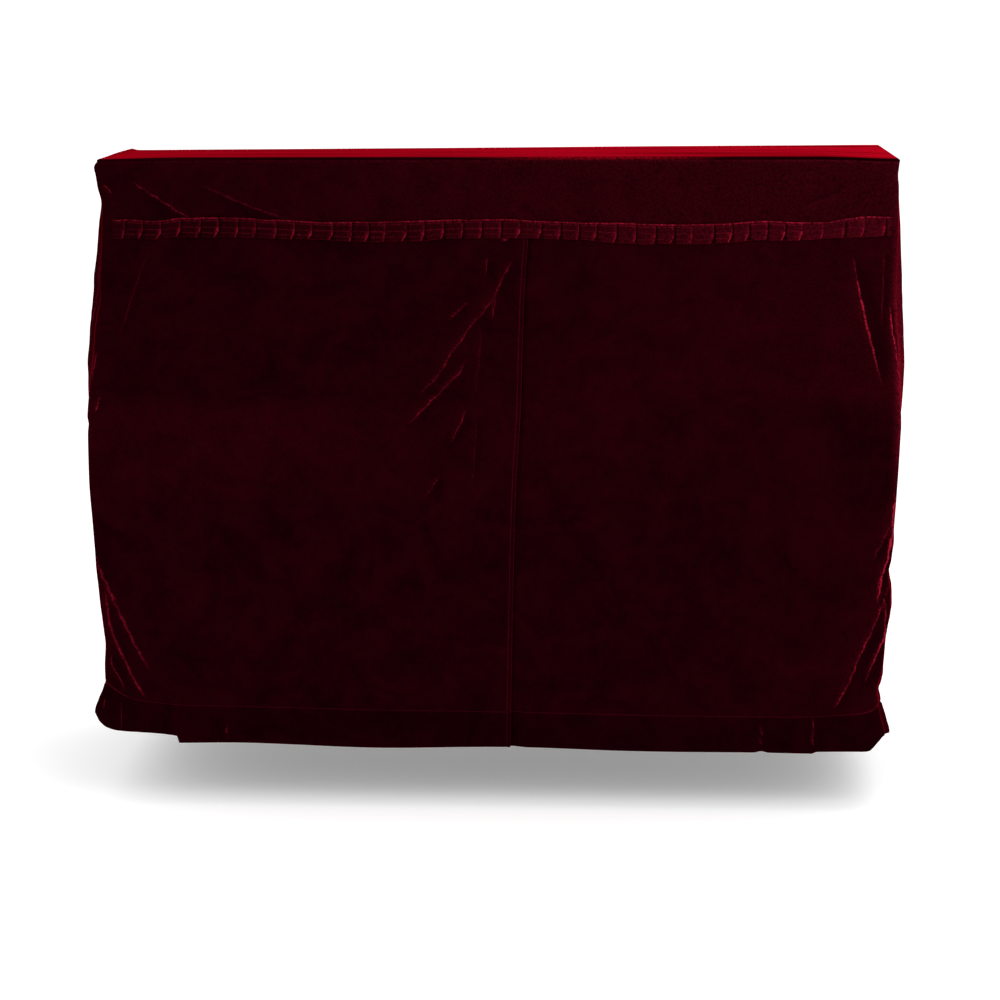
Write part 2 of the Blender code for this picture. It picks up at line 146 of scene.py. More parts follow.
YOKE_CREASES = creases(
    ([(-690, 33), (-646, 62), (-581, 101), (-550, 118)], 7, 2.6, 0.36, -0.6),
    ([(-561, 43), (-477, 78), (-398, 106), (-370, 116)], 10, 2.2, 0.19, -0.6),
    ([(-736, 44), (-728, 50), (-718, 63)], 3.5, 1.5, 0.75),
    ([(588, 81), (640, 53), (694, 26)], 12, -3, 0),
    ([(560, 94), (610, 72), (668, 46)], 9, 1.4, 0.12),
    ([(655, 100), (690, 70), (728, 20)], 8, 1.2, 0.1),
)
LEFT_CREASES = creases(
    ([(-646, 160), (-666, 220), (-693, 323)], 9, 3.4, 0.11),
    ([(-729, 337), (-732, 367), (-733, 394)], 3.5, 1.4, 0.5),
    ([(-713, 414), (-718, 430), (-722, 444)], 4, 1.6, 0.8),
    ([(36, 176), (15, 215), (-1, 248), (-26, 280), (-45, 298), (-56, 321), (-72, 334), (-98, 379),
      (-135, 413)], 8, 3.6, 0.38, 0.5, 0.1),
    ([(-40, 345), (-59, 373), (-83, 396), (-115, 426), (-157, 468)], 8, 3.6, 0.42, 0.5, 0.22),
    ([(-43, 251), (-65, 271), (-86, 290)], 5, 1.8, 0.35),
    ([(-43, 431), (-56, 462), (-74, 497)], 5, 2.2, 0.5),
    ([(-92, 551), (-105, 575), (-123, 595)], 5, 1.8, 0.35),
    ([(-24, 430), (-28, 500), (-34, 580)], 6, 1.6, 0.12),
    ([(-12, 178), (-18, 210)], 4.5, 1.2, 0.5),
    ([(4, 244), (1, 262), (-2, 286)], 4.5, 1.2, 0.4),
    ([(31, 140), (20, 144.5), (9, 150)], 4.5, 1.6, 1),
    ([(-20, 292), (-23, 329), (-24, 356), (-27, 391), (-32, 414)], 6, -1, 0.14),
    ([(-730, 690), (-723.9, 714), (-711.9, 746), (-698, 780), (-670, 846),
      (-628, 931)], 13, 6, 0.37, 0.1, 0.2),
    ([(-710, 765), (-703, 834), (-679, 899), (-640, 978)], 11, 5.2, 0.46, 0.1, 0.15),
    ([(-704, 888), (-702.6, 909), (-692.9, 927), (-684.6, 944), (-677.6, 965)], 6, 2.6, 0.52, 0.1),
    ([(-700, 720), (-672, 800), (-630, 880)], 14, -3, 0),
)
RIGHT_CREASES = creases(
    ([(663, 163), (677, 252), (694, 330), (711, 405)], 9, 5, 1.3, 0.6, 0.38),
    ([(723.6, 150), (720, 204), (716.5, 250), (712, 305)], 9, 1.6, 0.2, 0.3),
    ([(728.5, 255), (733, 310), (736.8, 340), (739.8, 392)], 5, 1.8, 1.8, 0.6, 0.18),
    ([(731.3, 601), (728.3, 627), (713.5, 662), (690.6, 714.5)], 7, 2.2, 0.3),
    ([(730.4, 575), (729, 612), (727.2, 642), (725.4, 673), (721.4, 697), (715, 722), (708.5, 747),
      (704.5, 790)], 7.5, 3.4, 2.1, 1, 0.12),
    ([(726.2, 744), (720.5, 765), (712.5, 793)], 3, 1.6, 0.55, 0.5),
    ([(718.5, 772), (702.4, 817), (672.7, 887), (649.6, 946), (627, 990)], 8.5, 6.2, 0.7, 1.3, 0.16),
    ([(720.3, 780), (719.4, 805), (718.5, 827), (715, 857), (706.7, 875), (693.2, 910),
      (684.6, 937)], 7, 4.2, 1.15, 1.2, 0.22),
    ([(700, 740), (668, 830), (620, 930)], 15, -3, 0),
)
# Short upright creases in the doubled cloth of the front hem.
HEM_CREASES = creases(
    ([(-715.5, 974), (-721.3, 994)], 3, 1.2, 0.45),
    ([(-686, 979), (-687, 1034)], 3, 1.4, 0.45),
    ([(-490, 1019), (-490, 1050)], 3, 1.4, 0.4),
    ([(499, 1012), (497, 1058)], 3.5, 1.8, 0.5),
    ([(592, 1000), (593, 1058)], 3.5, 1.8, 0.5),
)

# ---- the other panels' shape
# Height of the top panel's underside at its front and back edges: the ends sag a little.
LID = table(
    "x front back",
    (-745, 1, -5.4), (-600, 3.4, -4.6), (-300, 4.2, -2.6), (0, 4.4, -0.4), (300, 5.4, 2.2), (600, 5.4, 4),
    (748, 2, 5),
)
# left, right: how far that side swells out behind its front seam. hollow: how far a side's middle
# sinks in. back: how far its back seam is from the middle.
SIDE = table(
    "drop left right hollow back",
    (0, 0, 0, 0, 750), (45, 3, 3, 1, 747), (129, 11.7, 7.4, 2, 744), (180, 15.6, 10.4, 3, 743),
    (220, 21.3, 15.8, 4, 743), (250, 22.6, 18.4, 5, 742), (272, 20.4, 19.4, 5, 742),
    (292, 18.6, 19.7, 5, 742), (323, 19.2, 18.6, 5, 742), (352, 20.9, 17.2, 4, 742),
    (390, 10.9, 13, 3, 742), (430, 2.5, 11.2, 3, 742), (460, 0, 6.2, 3, 742), (700, 0, 2, 4, 740),
    (915, 0, 2, 4, 738), (952, 0, 6, 4, 738), (966, 0, 2.8, 4, 738), (981, 0, 3.6, 3, 738),
    (997, 0, 5.4, 3, 738), (1022, 0.5, 8.2, 2, 739), (1070, 2, 9.5, 0, 740),
)
BULGE_DEPTH = 0.032  # the swelling reaches its full height this far behind the front seam
BULGE_END = 0.33  # and it fades out over this share of the side next to the back seam
HEM_RISE_END = {-1: 0.5, 1: 0.2}  # a side's hem reaches its full depth at this share of the way back
SIDE_HEM_BACK = 1.06  # depth of the side's hem at the back seam
SIDE_STITCH_BACK = 0.988  # and of its stitches
# Here the first number of a point is its distance in front of the middle plane.
SIDE_CREASES = creases(
    ([(350, 590), (322, 760), (295, 990)], 24, 8.5, 0.1),
    ([(320, 545), (225, 720), (120, 930)], 28, 8.5, 0.1),
    ([(180, 180), (240, 300), (325, 420)], 26, -5, 0),
    ([(150, 90), (215, 210), (300, 350)], 12, 2.4, 0.25),
    ([(-20, 600), (-25, 800), (-30, 1050)], 32, 7.5, 0),
    ([(385, 640), (372, 760), (350, 900)], 10, 4, 0.35),
    ([(-150, 50), (-120, 160), (-60, 300)], 14, 2, 0.15),
)
BACK_WAVES = 5  # soft waves across the back, which grow towards the hem
BACK_WAVE_LIFT = 0.007
BACK_RIPPLES = (0.12, 0.9)  # breadths of the smaller ones among them
BACK_WAVE_END = 0.12  # they fade out over this share of the width next to a side
LEFT_RISE = 0.003  # the top's left edge stands up this far behind its middle,
LEFT_RISE_X, LEFT_RISE_WIDTH = -0.747, 0.008  # outwards from here, with a slope this wide,
LEFT_RISE_BACK = 0.65  # and in full from this share of the way back on
TOP_BROW = 0.002  # the top rises this much behind its front edge
BROW_WIDTH = 0.045  # within this distance
BROW_END = 0.15  # and lies flat again at both ends, within this distance

# ---- the pleated band
BAND = table(
    "x top bottom",
    (-718, 109, 144.5), (-630, 111.5, 144), (-586, 105.5, 140.5), (-485, 106, 142), (-413, 109, 144),
    (-307, 113, 146.5), (-233, 113, 149.5), (-132, 110.5, 147), (-91, 109.5, 142.5), (10, 107, 142),
    (86, 111, 143), (159, 113, 145), (229, 114.5, 151), (333, 116.5, 153), (435, 115.5, 150),
    (502, 110, 145.5), (572, 112.5, 145.5), (613, 112.5, 143), (648, 106.5, 141), (690, 102, 138.5),
    (737, 103, 136),
)
# Where the folds of its pleats are.
PLEAT_FOLDS = np.array([
    -695, -661, -626, -590, -552, -518, -481, -448, -409, -375, -342, -303, -268, -236, -205, -165, -132,
    -96, -60, -25, 11, 47, 86, 122, 156, 189, 226, 262, 299, 333, 367, 407, 441, 472, 506, 539, 571, 609,
    649, 685, 724,
]) / 1000.0
PLEATS = len(PLEAT_FOLDS)
BAND_CLOTH = 0.001  # the band is a lighter cut of the same velvet
BAND_GAP = 0.0008  # from the yoke and the curtains behind it
PLEAT_UNDER = 0.0085  # cloth turned under at each pleat
BAND_LAYER = 0.00115  # from one layer of it to the next
BAND_HEIGHT = 0.036  # its cut height
STITCH_ROWS = [0.16, 0.49, 0.77]  # the rows of stitches, as shares of the band's height
STITCH_DIP = 0.0004  # they draw the cloth in this far
HELD_WIDTH, HELD_FLAT = 0.03, 0.3  # and hold it flat, over this share of the height and this firmly
PULLED_WIDTH = 0.026  # they get a painted highlight over this share of the height
BAND_PUFF = 0.0005  # and it swells between them
BAND_PATCH = (0.011, 0.03)  # its painted highlights come in patches of about this size
PLEAT_TOP_SHIFT = 0.0008  # unevenness of the pleats' upper and lower edges
PLEAT_FOOT_SHIFT = 0.0011
PLEAT_LEAN = 0.0012  # and how far their folds lean
FOOT_FREE = 0.5  # below this share of the band's height a pleat's fold is free
FOOT_FLARE = 0.0046  # a pleat's free lower corner stands out this far,
FOOT_CURL = 0.007  # curls this far to the left,
FOOT_LIFT = 0.0012  # and is drawn up this far
HEAD_FLARE = 0.0008  # its upper edge stands out this far
FACE_STEPS, TURN_STEPS = 9, 3  # grid columns across the face of a pleat and round its turns
# How much painted highlight it gets: along the folds, high and low, and near them; at the stitches, away from
# the folds and at them; along the upper and lower edges; on the curled corners; and between and on the
# patches. All of it is brighter at the right end than at the left one.
CREST_GLEAM, FACE_GLEAM = (0.45, 0.9), 0.15
LOW_FROM, LOW_EASE = 0.42, 0.22
PULLED_GLEAM, FACE_PULLED = 0.84, (0.45, 1.0)
HEAD_GLEAM, HEAD_LINE, HEAD_WIDTH = 0.8, 0.02, 0.045
FOOT_GLEAM, FOOT_WIDTH = 0.2, 0.025
CURL_GLEAM = 0.9
BAND_PATCH_GLEAM, BAND_PATCH_LIMITS = (0.8, 1.25), (0.2, 1.3)
BAND_BRIGHT = (0.78, 1.18)
PLEAT_SHADE, PLEAT_SHADOW = 0.3, 0.0009  # painted shade beside a fold, over this width, where its painted highlight is less than this
PLEAT_SHADE_UNDER = 0.25  # where it is parted less than this

# ---- edges, seams and hems
HEM_ROUND = 0.00215  # the hem's cloth turns up inside round this radius
HEM_TURNED = 0.07  # length of the cloth that is turned up
INNER_RELIEF = -0.3  # share of a panel's relief that is left there
FOLD_ROUND = 0.0021  # the left curtain's free edge is folded round this radius
FOLD_TURNED = 0.006  # length of the cloth that is folded under there
FOLD_REST = 0.1  # share of that fold which is left where the hem is turned up
SEAM_FADE = 0.01  # creases fade out over this distance from a corner seam
SWAY_FADE = 0.045  # and the soft waves of a panel over this one
BAND_FADE = 0.03  # soft waves fade out over this distance from the yoke's seam
TOP_FADE = 0.08  # and over this one from the top's edges
FRONT_SWAY, FRONT_WAVES = 0.0011, (0.34, 0.26)  # height and breadths of the soft waves
SIDE_SWAY, SIDE_WAVES = 0.005, (0.15, 0.75)
SIDE_SWAY_DROP, SIDE_SWAY_EASE = 0.03, 0.5  # the sides' grow from a depth on, over a length
TOP_SWAY, TOP_WAVES = 0.0006, (0.3, 0.16)
TOP_STREAKS, STREAK_LIFT = (0.9, 0.055), 1.5  # of long ones across the top, this much higher
GATHER_FALL = 0.03  # the band's gathers fade out over about this depth under it
GATHER_LIFT = 0.0007  # and stand this high
WAVE_COUNT = 7  # soft waves are made of this many plain ones
CREASE_POINTS = 14  # points of a crease's smoothed line
CREASE_WANDER = 0.0009  # it wanders this far from its line, in bends of about this length
CREASE_BEND = 0.026
CREASE_PATCH = 0.036  # its painted highlight, partly parted pile, comes in patches of about this length
PATCH_GLEAM, PATCH_LIMITS = (0.8, 1.18), (0.45, 1.15)  # between and on them, and at least and most
CREST = 0.0014  # radius of a crease's crest
CREST_BREADTH = 0.0004  # breadth of its painted highlight, and the share of its width to add
GLEAM_SHARE = 0.13
CREST_END = 4.4  # this many breadths away its line is over
GLOW = 0.06  # a little painted light beside it on one side, and painted shade on the other
HOLLOW_SHADE = 0.48  # and pressed dark on the other
HOLLOW_EDGE = 0.3
HEM_TUCK, HEM_TUCK_EASE = 0.003, 0.012  # the right curtain sinks more under the left one's hem
EDGE_DIP, EDGE_DIP_WIDTH = 0.0009, 0.0013  # the free edge's stitches draw the cloth in
CORNER_HEM = 0.012  # this near to a corner seam the front's hem meets the side's
TOP_RIM_STEPS = 5  # grid steps round the top's edge,
TOP_RIM_EDGE = 0.06  # and a narrow one at its end, which turns by this angle
THREAD_RADIUS, THREAD_SIDES = 0.00032, 5
STITCH_PITCH, STITCH_PARTS = 0.0042, 5  # a stitch and the gap after it, in parts
STITCH_RINGS = 5  # a stitch has this many rings, one for each part and one to end it
STITCH_RISE, STITCH_SINK = 0.0004, 0.00012  # its middle stands out and its ends are sunk this far
STITCH_CLEAR = 0.0006  # the band's stitches start this far from the pleat before

# ---- painted light and shade on the pile
HEM_GLEAM, HEM_GLEAM_WIDTH = 0.22, 0.0014  # painted highlight along the hem's stitches, and more of it next to a corner seam, and painted shade on the hem painted highlight along the left curtain's free edge and its stitches and a painted shadow on the right curtain beside that edge and painted highlight along the back's seams
CORNER_GLEAM, CORNER_EASE = 0.62, 0.045  # how much there next to a corner seam,
HEM_SHADE = 0.3  # and how much it is pressed flat on the hem
EDGE_GLEAM, EDGE_GLEAM_WIDTH = 0.36, 0.0012  # how much along the left curtain's free edge
EDGE_STITCH_WIDTH = 0.001  # and its stitches
EDGE_SHADE, EDGE_SHADOW = 0.75, 0.0032  # and pressed flat on the right curtain beside that edge
BACK_GLEAM = 0.3  # and parted along the back's seams
# Painted highlight along the seams, down each front corner.
SEAM_GLEAM = table(
    "drop left right",
    (0, 100, 100), (60, 250, 300), (120, 400, 450), (270, 550, 600), (310, 500, 1000), (380, 600, 1000),
    (440, 400, 1000), (490, 250, 1100), (540, 200, 300), (590, 250, 300), (610, 250, 900), (640, 300, 600),
    (800, 350, 650), (900, 400, 900), (985, 300, 900), (1030, 300, 1300),
)
# And a painted sheen all over the cloth's rounded edge beside them.
EDGE_PAINTED_SHEEN = table(
    "drop left right",
    (0, 0, 80), (100, 0, 130), (180, 0, 220), (240, 20, 300), (300, 40, 380), (480, 30, 460), (530, 0, 220),
    (580, 0, 100), (660, 0, 30), (1070, 0, 30),
)
EDGE_SHEEN_WIDTH = 0.011
SIDE_EDGE_SHEEN_WIDTH = 0.024
# Painted light and shade down the front, from its left edge to its right one: lighter to the right and just
# under the top, darker on the left below the band.
FRONT_PAINTED_LIGHT = table(
    "drop left right",
    (0, 34, 170), (4.5, 30, 150), (8.5, 4, 66), (30, 2, 62), (128.5, 2, 58), (129.5, -15, 26),
    (400, -15, 26), (450, 20, 6), (560, 16, 4), (700, -40, 15), (1100, -40, 18),
)
BAND_PAINTED_LIGHT = (0.005, 0.13)  # painted light at the left and right ends of the band, and of the top, where it grows as this power of the way across times this, at the top's front and back edges, and this, between and on its streaks
TOP_PAINTED_LIGHT, TOP_LIGHT_BEND = (0.03, 1.2), 2.2  # where it grows as this power of the way across
TOP_LIGHT_BACK = (0.6, 1.35)  # times this, at the top's front and back edges,
TOP_STREAK_LIGHT = (0.75, 1.6)  # and this, between and on its streaks
TOP_EDGE_SHADE, TOP_EDGE_WIDTH = 0.2, 0.0016  # painted shade along the top's edges
FOOT_GLOW, FOOT_GLOW_WIDTH = 0.075, 0.06  # painted light on the foot of the left corner, over a width, from a depth on, over a length
FOOT_GLOW_DROP, FOOT_GLOW_EASE = 0.68, 0.15  # from a depth on, over a length

# Grids: rows run down, columns to the right. Their second field is painted highlight above 0 and painted
# shade below 0. crest: places across a crease from its crest, in breadths; shine: its painted highlight.
Sheet = namedtuple("Sheet", "points parted crest shine flat")

# ---- colours, lights and camera
DEEP_WINE = (0.006, 0.00011, 0.0009, 1.0)
WINE = (0.0137, 0.00023, 0.0018, 1.0)
# the colours of painted highlights, and of those on the top
HIGHLIGHT_CRIMSON = (0.3, 0.008, 0.024, 1.0)
LID_HIGHLIGHT_SCARLET = (0.3, 0.0016, 0.009, 1.0)
# the dark of the pile's grain and of the backing's weave, and of painted shade
GRAIN_AND_SHADE_DARK = (0.002, 0.00003, 0.0003, 1.0)
BACKING_DARK = (0.05, 0.002, 0.008, 1.0)
BACKING_LIGHT = (0.09, 0.0045, 0.015, 1.0)
THREAD_DARK = (0.035, 0.0015, 0.005, 1.0)
THREAD_LIGHT = (0.11, 0.006, 0.016, 1.0)
SHEEN_TINT = (0.52, 0.0007, 0.01, 1.0)
SHEEN_ROUGHNESS = 0.3
PAINTED_SHADE_SHEEN = 0.22  # less sheen, to paint shade on the left side and on the right side's hem, and this much, to paint half shade on the rest of the right side
HALF_SHADE_SHEEN = 0.5  # and the right side's partly so
FLOOR_COLOUR = (0.97, 0.97, 0.97, 1.0)
FLOOR_GLOW = 0.25  # lifts the shade under the cover
FLOOR_SIZE = 300.0
WORLD_LIGHT = 1.0
Light = namedtuple("Light", "name place target size power")
LIGHTS = [
    Light("key", (2.8, -4.2, 3.4), (0.2, -0.2, -0.3), 3.0, 60.0),
    Light("fill", (-3.4, -3.8, 2.2), (-0.2, -0.2, -0.5), 3.0, 25.0),
    Light("top", (1.4, 0.6, 3.4), (0.3, 0.0, 0.0), 3.0, 40.0),
]
CAMERA_PLACE = (0.206, -5.101, 0.325)
CAMERA_TURN, CAMERA_DIP, CAMERA_ROLL = 2.31, 11.14, -0.14  # degrees to the left, and down
SENSOR = 36.0
LENS = 94.6


# ---- plain maths
def mix(start, end, share):
    return start + (end - start) * share


def ease(share):
    """0 to 1 with soft ends."""
    share = np.clip(share, 0, 1)
    return share * share * (3 - 2 * share)


def peak(distance, width):
    """1 in the middle, fading to 0 over about this width."""
    return np.exp(-(distance / width) ** 2)


def nearest(places, place):
    """Which of some places is the nearest to this one."""
    return int(np.argmin(np.abs(places - place)))


def grid(*layers):
    """Points, or pairs, from layers of one number each."""
    return np.stack(np.broadcast_arrays(*layers), axis=-1)


def lengths_to(line):
    """How far along a line of points each of them is."""
    return np.concatenate([[0], np.cumsum(np.linalg.norm(np.diff(line, axis=0), axis=1))])


def smooth_line(places, values, at):
    """Values at some places of a smooth line through points, which doesn't overshoot them."""
    step = np.diff(places)
    rise = np.diff(values) / step
    same_way = rise[:-1] * rise[1:] > 0
    total = np.where(same_way, rise[:-1] + rise[1:], 1)
    slope = np.zeros(len(places))
    slope[1:-1] = np.where(same_way, 2 * rise[:-1] * rise[1:] / total, 0)
    at = np.clip(at, places[0], places[-1])
    low = np.clip(np.searchsorted(places, at, side="right") - 1, 0, len(step) - 1)
    share = (at - places[low]) / step[low]
    bend = (1 - share) * slope[low] - share * slope[low + 1]
    return mix(values[low], values[low + 1], ease(share)) + step[low] * share * (1 - share) * bend


def read(table, at, column):
    """Read a column of a table along a smooth line; the table's first column is the place."""
    return smooth_line(table[0], getattr(table, column), at)


def steps(*stretches):
    """Places from 0 on, at even steps in each stretch, given as (its end, about its step)."""
    places = [0]
    for end, step in stretches:
        start = places[-1]
        count = max(1, round((end - start) / step))
        places += [mix(start, end, k / count) for k in range(1, count + 1)]
    return np.array(places)


def waves(across, down, length, seed):
    """Soft waves of about this length in both directions, from about -1 to 1."""
    rng = np.random.default_rng(seed)
    total = 0
    for _ in range(WAVE_COUNT):
        heading = rng.uniform(0, math.pi)
        phase = rng.uniform(0, 2 * math.pi)
        turns = (across / length[0]) * math.cos(heading) + (down / length[1]) * math.sin(heading)
        total = total + np.sin(2 * math.pi * turns * rng.uniform(0.7, 1.4) + phase)
    return total / math.sqrt(WAVE_COUNT)


# ---- creases
def near_path(path, x, z):
    """How far to the left of a line of points every place is, and how far along it, from 0 to 1."""
    lengths = np.linalg.norm(np.diff(path, axis=0), axis=1)
    before = np.concatenate([[0], np.cumsum(lengths)])
    away = np.full(x.shape, np.inf)
    along = np.zeros(x.shape)
    for start, end, length, gone in zip(path, path[1:], lengths, before):
        way = (end - start) / length
        run = np.clip((x - start[0]) * way[0] + (z - start[1]) * way[1], 0, length)
        distance = np.hypot(x - start[0] - run * way[0], z - start[1] - run * way[1])
        side = np.where(way[0] * (z - start[1]) < way[1] * (x - start[0]), -1, 1)
        closer = distance < np.abs(away)
        away = np.where(closer, side * distance, away)
        along = np.where(closer, (gone + run) / before[-1], along)
    return away, along


def crease_relief(creases, x, z):
    """How high the creases stand at every place of a panel, the painted light and shade beside them, and
    the nearest one's crest and painted highlight.
    """
    lift, light_and_shade_beside, crest, shine = (np.full(x.shape, start) for start in (0.0, 0.0, CREST_END, 0.0))
    wandered_x, wandered_z = (at + CREASE_WANDER * waves(x, z, (CREASE_BEND, CREASE_BEND), seed)
                              for at, seed in ((x, 3), (z, 8)))
    for number, crease in enumerate(creases):
        gone = lengths_to(crease.points)
        at = np.linspace(0, gone[-1], CREASE_POINTS)
        path = np.stack([smooth_line(gone, crease.points[:, k], at) for k in range(2)], axis=1)
        away, along = near_path(path, wandered_x, wandered_z)
        fade = ease(along / crease.fade) * ease((1 - along) / crease.fade)
        lift += crease.lift * fade * np.exp((CREST - np.hypot(away, CREST)) / crease.width)
        # painted shade on one side of each crease and a little painted light on the other
        beside = away * math.copysign(1, crease.shaded) / crease.width
        hollow = HOLLOW_SHADE * abs(crease.shaded) * ease(beside / HOLLOW_EDGE)
        light_and_shade_beside += min(crease.gleam, 1) * fade * np.where(beside > 0, -hollow, GLOW) * np.exp(-np.abs(beside))
        # the crease's painted highlight along its crest, partly parted pile, broken into patches
        patches = waves(along * lengths_to(path)[-1], 0, (CREASE_PATCH, 1), 50 + number)
        across = away / (CREST_BREADTH + GLEAM_SHARE * crease.width)
        nearer = np.abs(across) < np.abs(crest)
        crest = np.where(nearer, across, crest)
        near = ease(1 - np.abs(across) / CREST_END)
        gleam = crease.gleam * fade * np.clip(mix(*PATCH_GLEAM, patches), *PATCH_LIMITS) * near
        shine = np.where(nearer, gleam, shine)
    return lift, light_and_shade_beside, crest, shine


# ---- how a panel's rows hang
def bend_back(past, radius):
    """How far on, how far back and how far turned the cloth is, this far past a bend's start."""
    angle = np.minimum(past / radius, math.pi)
    on = radius * np.sin(angle) - np.maximum(past - math.pi * radius, 0)
    return on, radius * (1 - np.cos(angle)), angle


def turn_up(rows):
    """Depth of each row, how far behind the outer face it lies, and how far it is turned up."""
    on, behind, _ = bend_back(np.maximum(rows - HEM_EDGE, 0), HEM_ROUND)
    return np.minimum(rows, HEM_EDGE) + on, behind, behind / (2 * HEM_ROUND)


def hang(row, stitch, edge):
    """Depth of a row where the hem's stitches and edge are this deep: rows below the knee spread."""
    upper = mix(KNEE_DROP, stitch, (row - KNEE_DROP) / (HEM_LINE - KNEE_DROP))
    lower = mix(stitch, edge, (row - HEM_LINE) / (HEM_DROP - HEM_LINE))
    return np.where(row <= KNEE_DROP, row, np.where(row <= HEM_LINE, upper, lower))


def hem_relief(row):
    """How far the hem stands out: drawn in along its stitches and thicker below them."""
    return HEM_BODY * ease((row - HEM_LINE) / HEM_EASE) - HEM_DIP * peak(row - HEM_LINE, HEM_EASE / 2)


def hem_gleam(row):
    """How near a row is to the hem's stitches, along which a highlight is painted."""
    return peak(row - HEM_LINE, HEM_GLEAM_WIDTH)


def seam_dip(distance):
    """How far a seam draws in the cloth beside it."""
    return SEAM_DIP * np.clip(1 - distance / SEAM_WIDTH, 0, 1) ** 2


def draw_lines(parted, lines, turned):
    """Painted highlight lines laid over a panel's painted light and shade, but not where it is turned up."""
    return parted + (lines - parted) * lines * (1 - turned)


def lid_height(x, share_back):
    """Height of the top panel's underside; share_back is 0 at its front edge and 1 at its back."""
    outward = peak(np.maximum(x - LEFT_RISE_X, 0), LEFT_RISE_WIDTH)
    rise = LEFT_RISE * ease(share_back / LEFT_RISE_BACK) * outward
    return mix(read(LID, x, "front"), read(LID, x, "back"), share_back) + rise


def below_lid(x, depth, share_back):
    """Height of a place this deep under the lid's edge, which follows the lid's sag near the top."""
    return lid_height(x, share_back) * (1 - ease(depth / YOKE_DROP)) - depth


# ---- how a panel's ends are made
def sewn(row):
    """Share of a seam's allowance that is turned inside at each row."""
    return mix(1, SEAM_IN_HEM, ease((row - HEM_LINE) / SEAM_IN_HEM_EASE + 1))


# Each end gives, for places along the cloth from it: how far in they are, how far back, and how far
# the cloth's face is turned to that end's side.
def seam_end(distance, row):
    """Rounded to a seam on the cover's vertical edge, with its allowance turned inside."""
    angle = (1 - np.clip(distance / CORNER_ARC, 0, 1)) * math.pi / 2
    inward = EDGE_ROUND * (1 - np.sin(angle)) + np.maximum(distance - CORNER_ARC, 0)
    return inward + np.maximum(-distance, 0) * sewn(row), EDGE_ROUND * (1 - np.cos(angle)), angle


def folded_end(distance, _):
    """Folded to the inside round a small radius."""
    on, back, angle = bend_back(np.maximum(FOLD_ROUND - distance, 0), FOLD_ROUND)
    return np.maximum(distance, FOLD_ROUND) - on, back, angle


def plain_end(distance, _):
    """Cut, and hidden under the other curtain."""
    return distance, 0 * distance, 0 * distance


def lay_columns(near, far, width, step):
    """Places across a panel of each row's width: fixed steps at both ends, even ones in between."""
    count = round((width.max() - near[-1] - far[-1]) / step)
    middle = mix(near[-1], width - far[-1], np.linspace(0, 1, count + 1)[1:-1])
    return np.concatenate([near * np.ones(width.shape), middle, width - far[::-1]], axis=1)


def lay_across(row, near, far, left, right, ends, step, turned=0):
    """Lay a panel's rows between its left and right edges, seen from outside.

    Where rows are turned up behind the hem, an edge isn't folded a second time.
    Returns each place's distance along the cloth from both edges, its place across, how far back it
    lies and how far its face is turned to the right.
    """
    width = right - left + (CORNER_ARC - EDGE_ROUND) * ends.count(seam_end)
    from_left = lay_columns(near, far, width, step)
    from_right = width - from_left
    unfolded = FOLD_ROUND - (FOLD_ROUND - from_right) * mix(1, FOLD_REST, turned)
    right_edge = np.where((from_right < FOLD_ROUND) & (ends[1] is folded_end), unfolded, from_right)
    left_in, left_back, left_turn = ends[0](from_left, row)
    right_in, right_back, right_turn = ends[1](right_edge, row)
    x = np.where(from_left < width / 2, left + left_in, right - right_in)
    return from_left, from_right, x, left_back + right_back, right_turn - left_turn


def place(x, reach, turn, inset, height):
    """Points of a face that looks along -Y, moved in by inset along its own turned normal."""
    return grid(x - inset * np.sin(turn), inset * np.cos(turn) - reach, height)


# ---- grid spacing
def sewn_end(*stretches):
    """Places across a panel from the edge of its seam's allowance on; the seam itself is at 0."""
    at_seam = steps((0.0032, 0.0008), (CORNER_ARC + 0.003, 0.0016), *stretches)
    return np.concatenate([[-SEAM_ALLOWANCE], at_seam])


def rows_from(start, *stretches):
    """Depths of a panel's rows along the cloth, from its top edge on."""
    return (start + steps(*[(end - start, step) for end, step in stretches]))[:, None]


HEM_EDGE = HEM_DROP - HEM_ROUND
HEM_BOTTOM = HEM_EDGE + math.pi * HEM_ROUND
HEM_ROWS = [(HEM_LINE - 0.008, 0.0055), (HEM_LINE + 0.008, 0.0011), (HEM_EDGE, 0.0052),
            (HEM_BOTTOM, 0.0011), (HEM_BOTTOM + HEM_TURNED, 0.0085)]
SEAM_TOP = TOP_ROUND - CLOTH + SEAM  # depth at which the panels start under the top's round edge
TOP_STEPS = [(SEAM_TOP + 0.0003, 0.0003), (0.008, 0.001)]
YOKE_ROWS = rows_from(SEAM_TOP, *TOP_STEPS, (YOKE_DROP, 0.003))
CURTAIN_ROWS = rows_from(YOKE_DROP + SEAM, (0.42, 0.0054), (0.474, 0.003), *HEM_ROWS)
SIDE_ROWS = rows_from(SEAM_TOP, *TOP_STEPS, (0.42, 0.0068), (0.474, 0.0036), (0.9, 0.008), *HEM_ROWS)
BACK_ROWS = rows_from(SEAM_TOP, *TOP_STEPS, (0.9, 0.0105), *HEM_ROWS)
BAND_ROWS = np.linspace(0, 1, 33)

YOKE_ENDS = sewn_end((0.09, 0.003), (0.18, 0.0045))
CORNER_END = sewn_end((0.125, 0.0024), (0.18, 0.004))
FOLD_LENGTH = FOLD_TURNED + math.pi * FOLD_ROUND
OPENING_END = FOLD_ROUND - FOLD_LENGTH + steps((FOLD_TURNED, 0.003), (FOLD_LENGTH, 0.0011),
                                               (FOLD_LENGTH + 0.012, 0.001), (0.235, 0.003))
TUCKED_END = steps((0.07, 0.008), (0.14, 0.003))
BACK_END = sewn_end((0.06, 0.006))
FRONT_STEP, BACK_STEP, TOP_STEP = 0.0054, 0.012, 0.008  # between their columns, in the middle
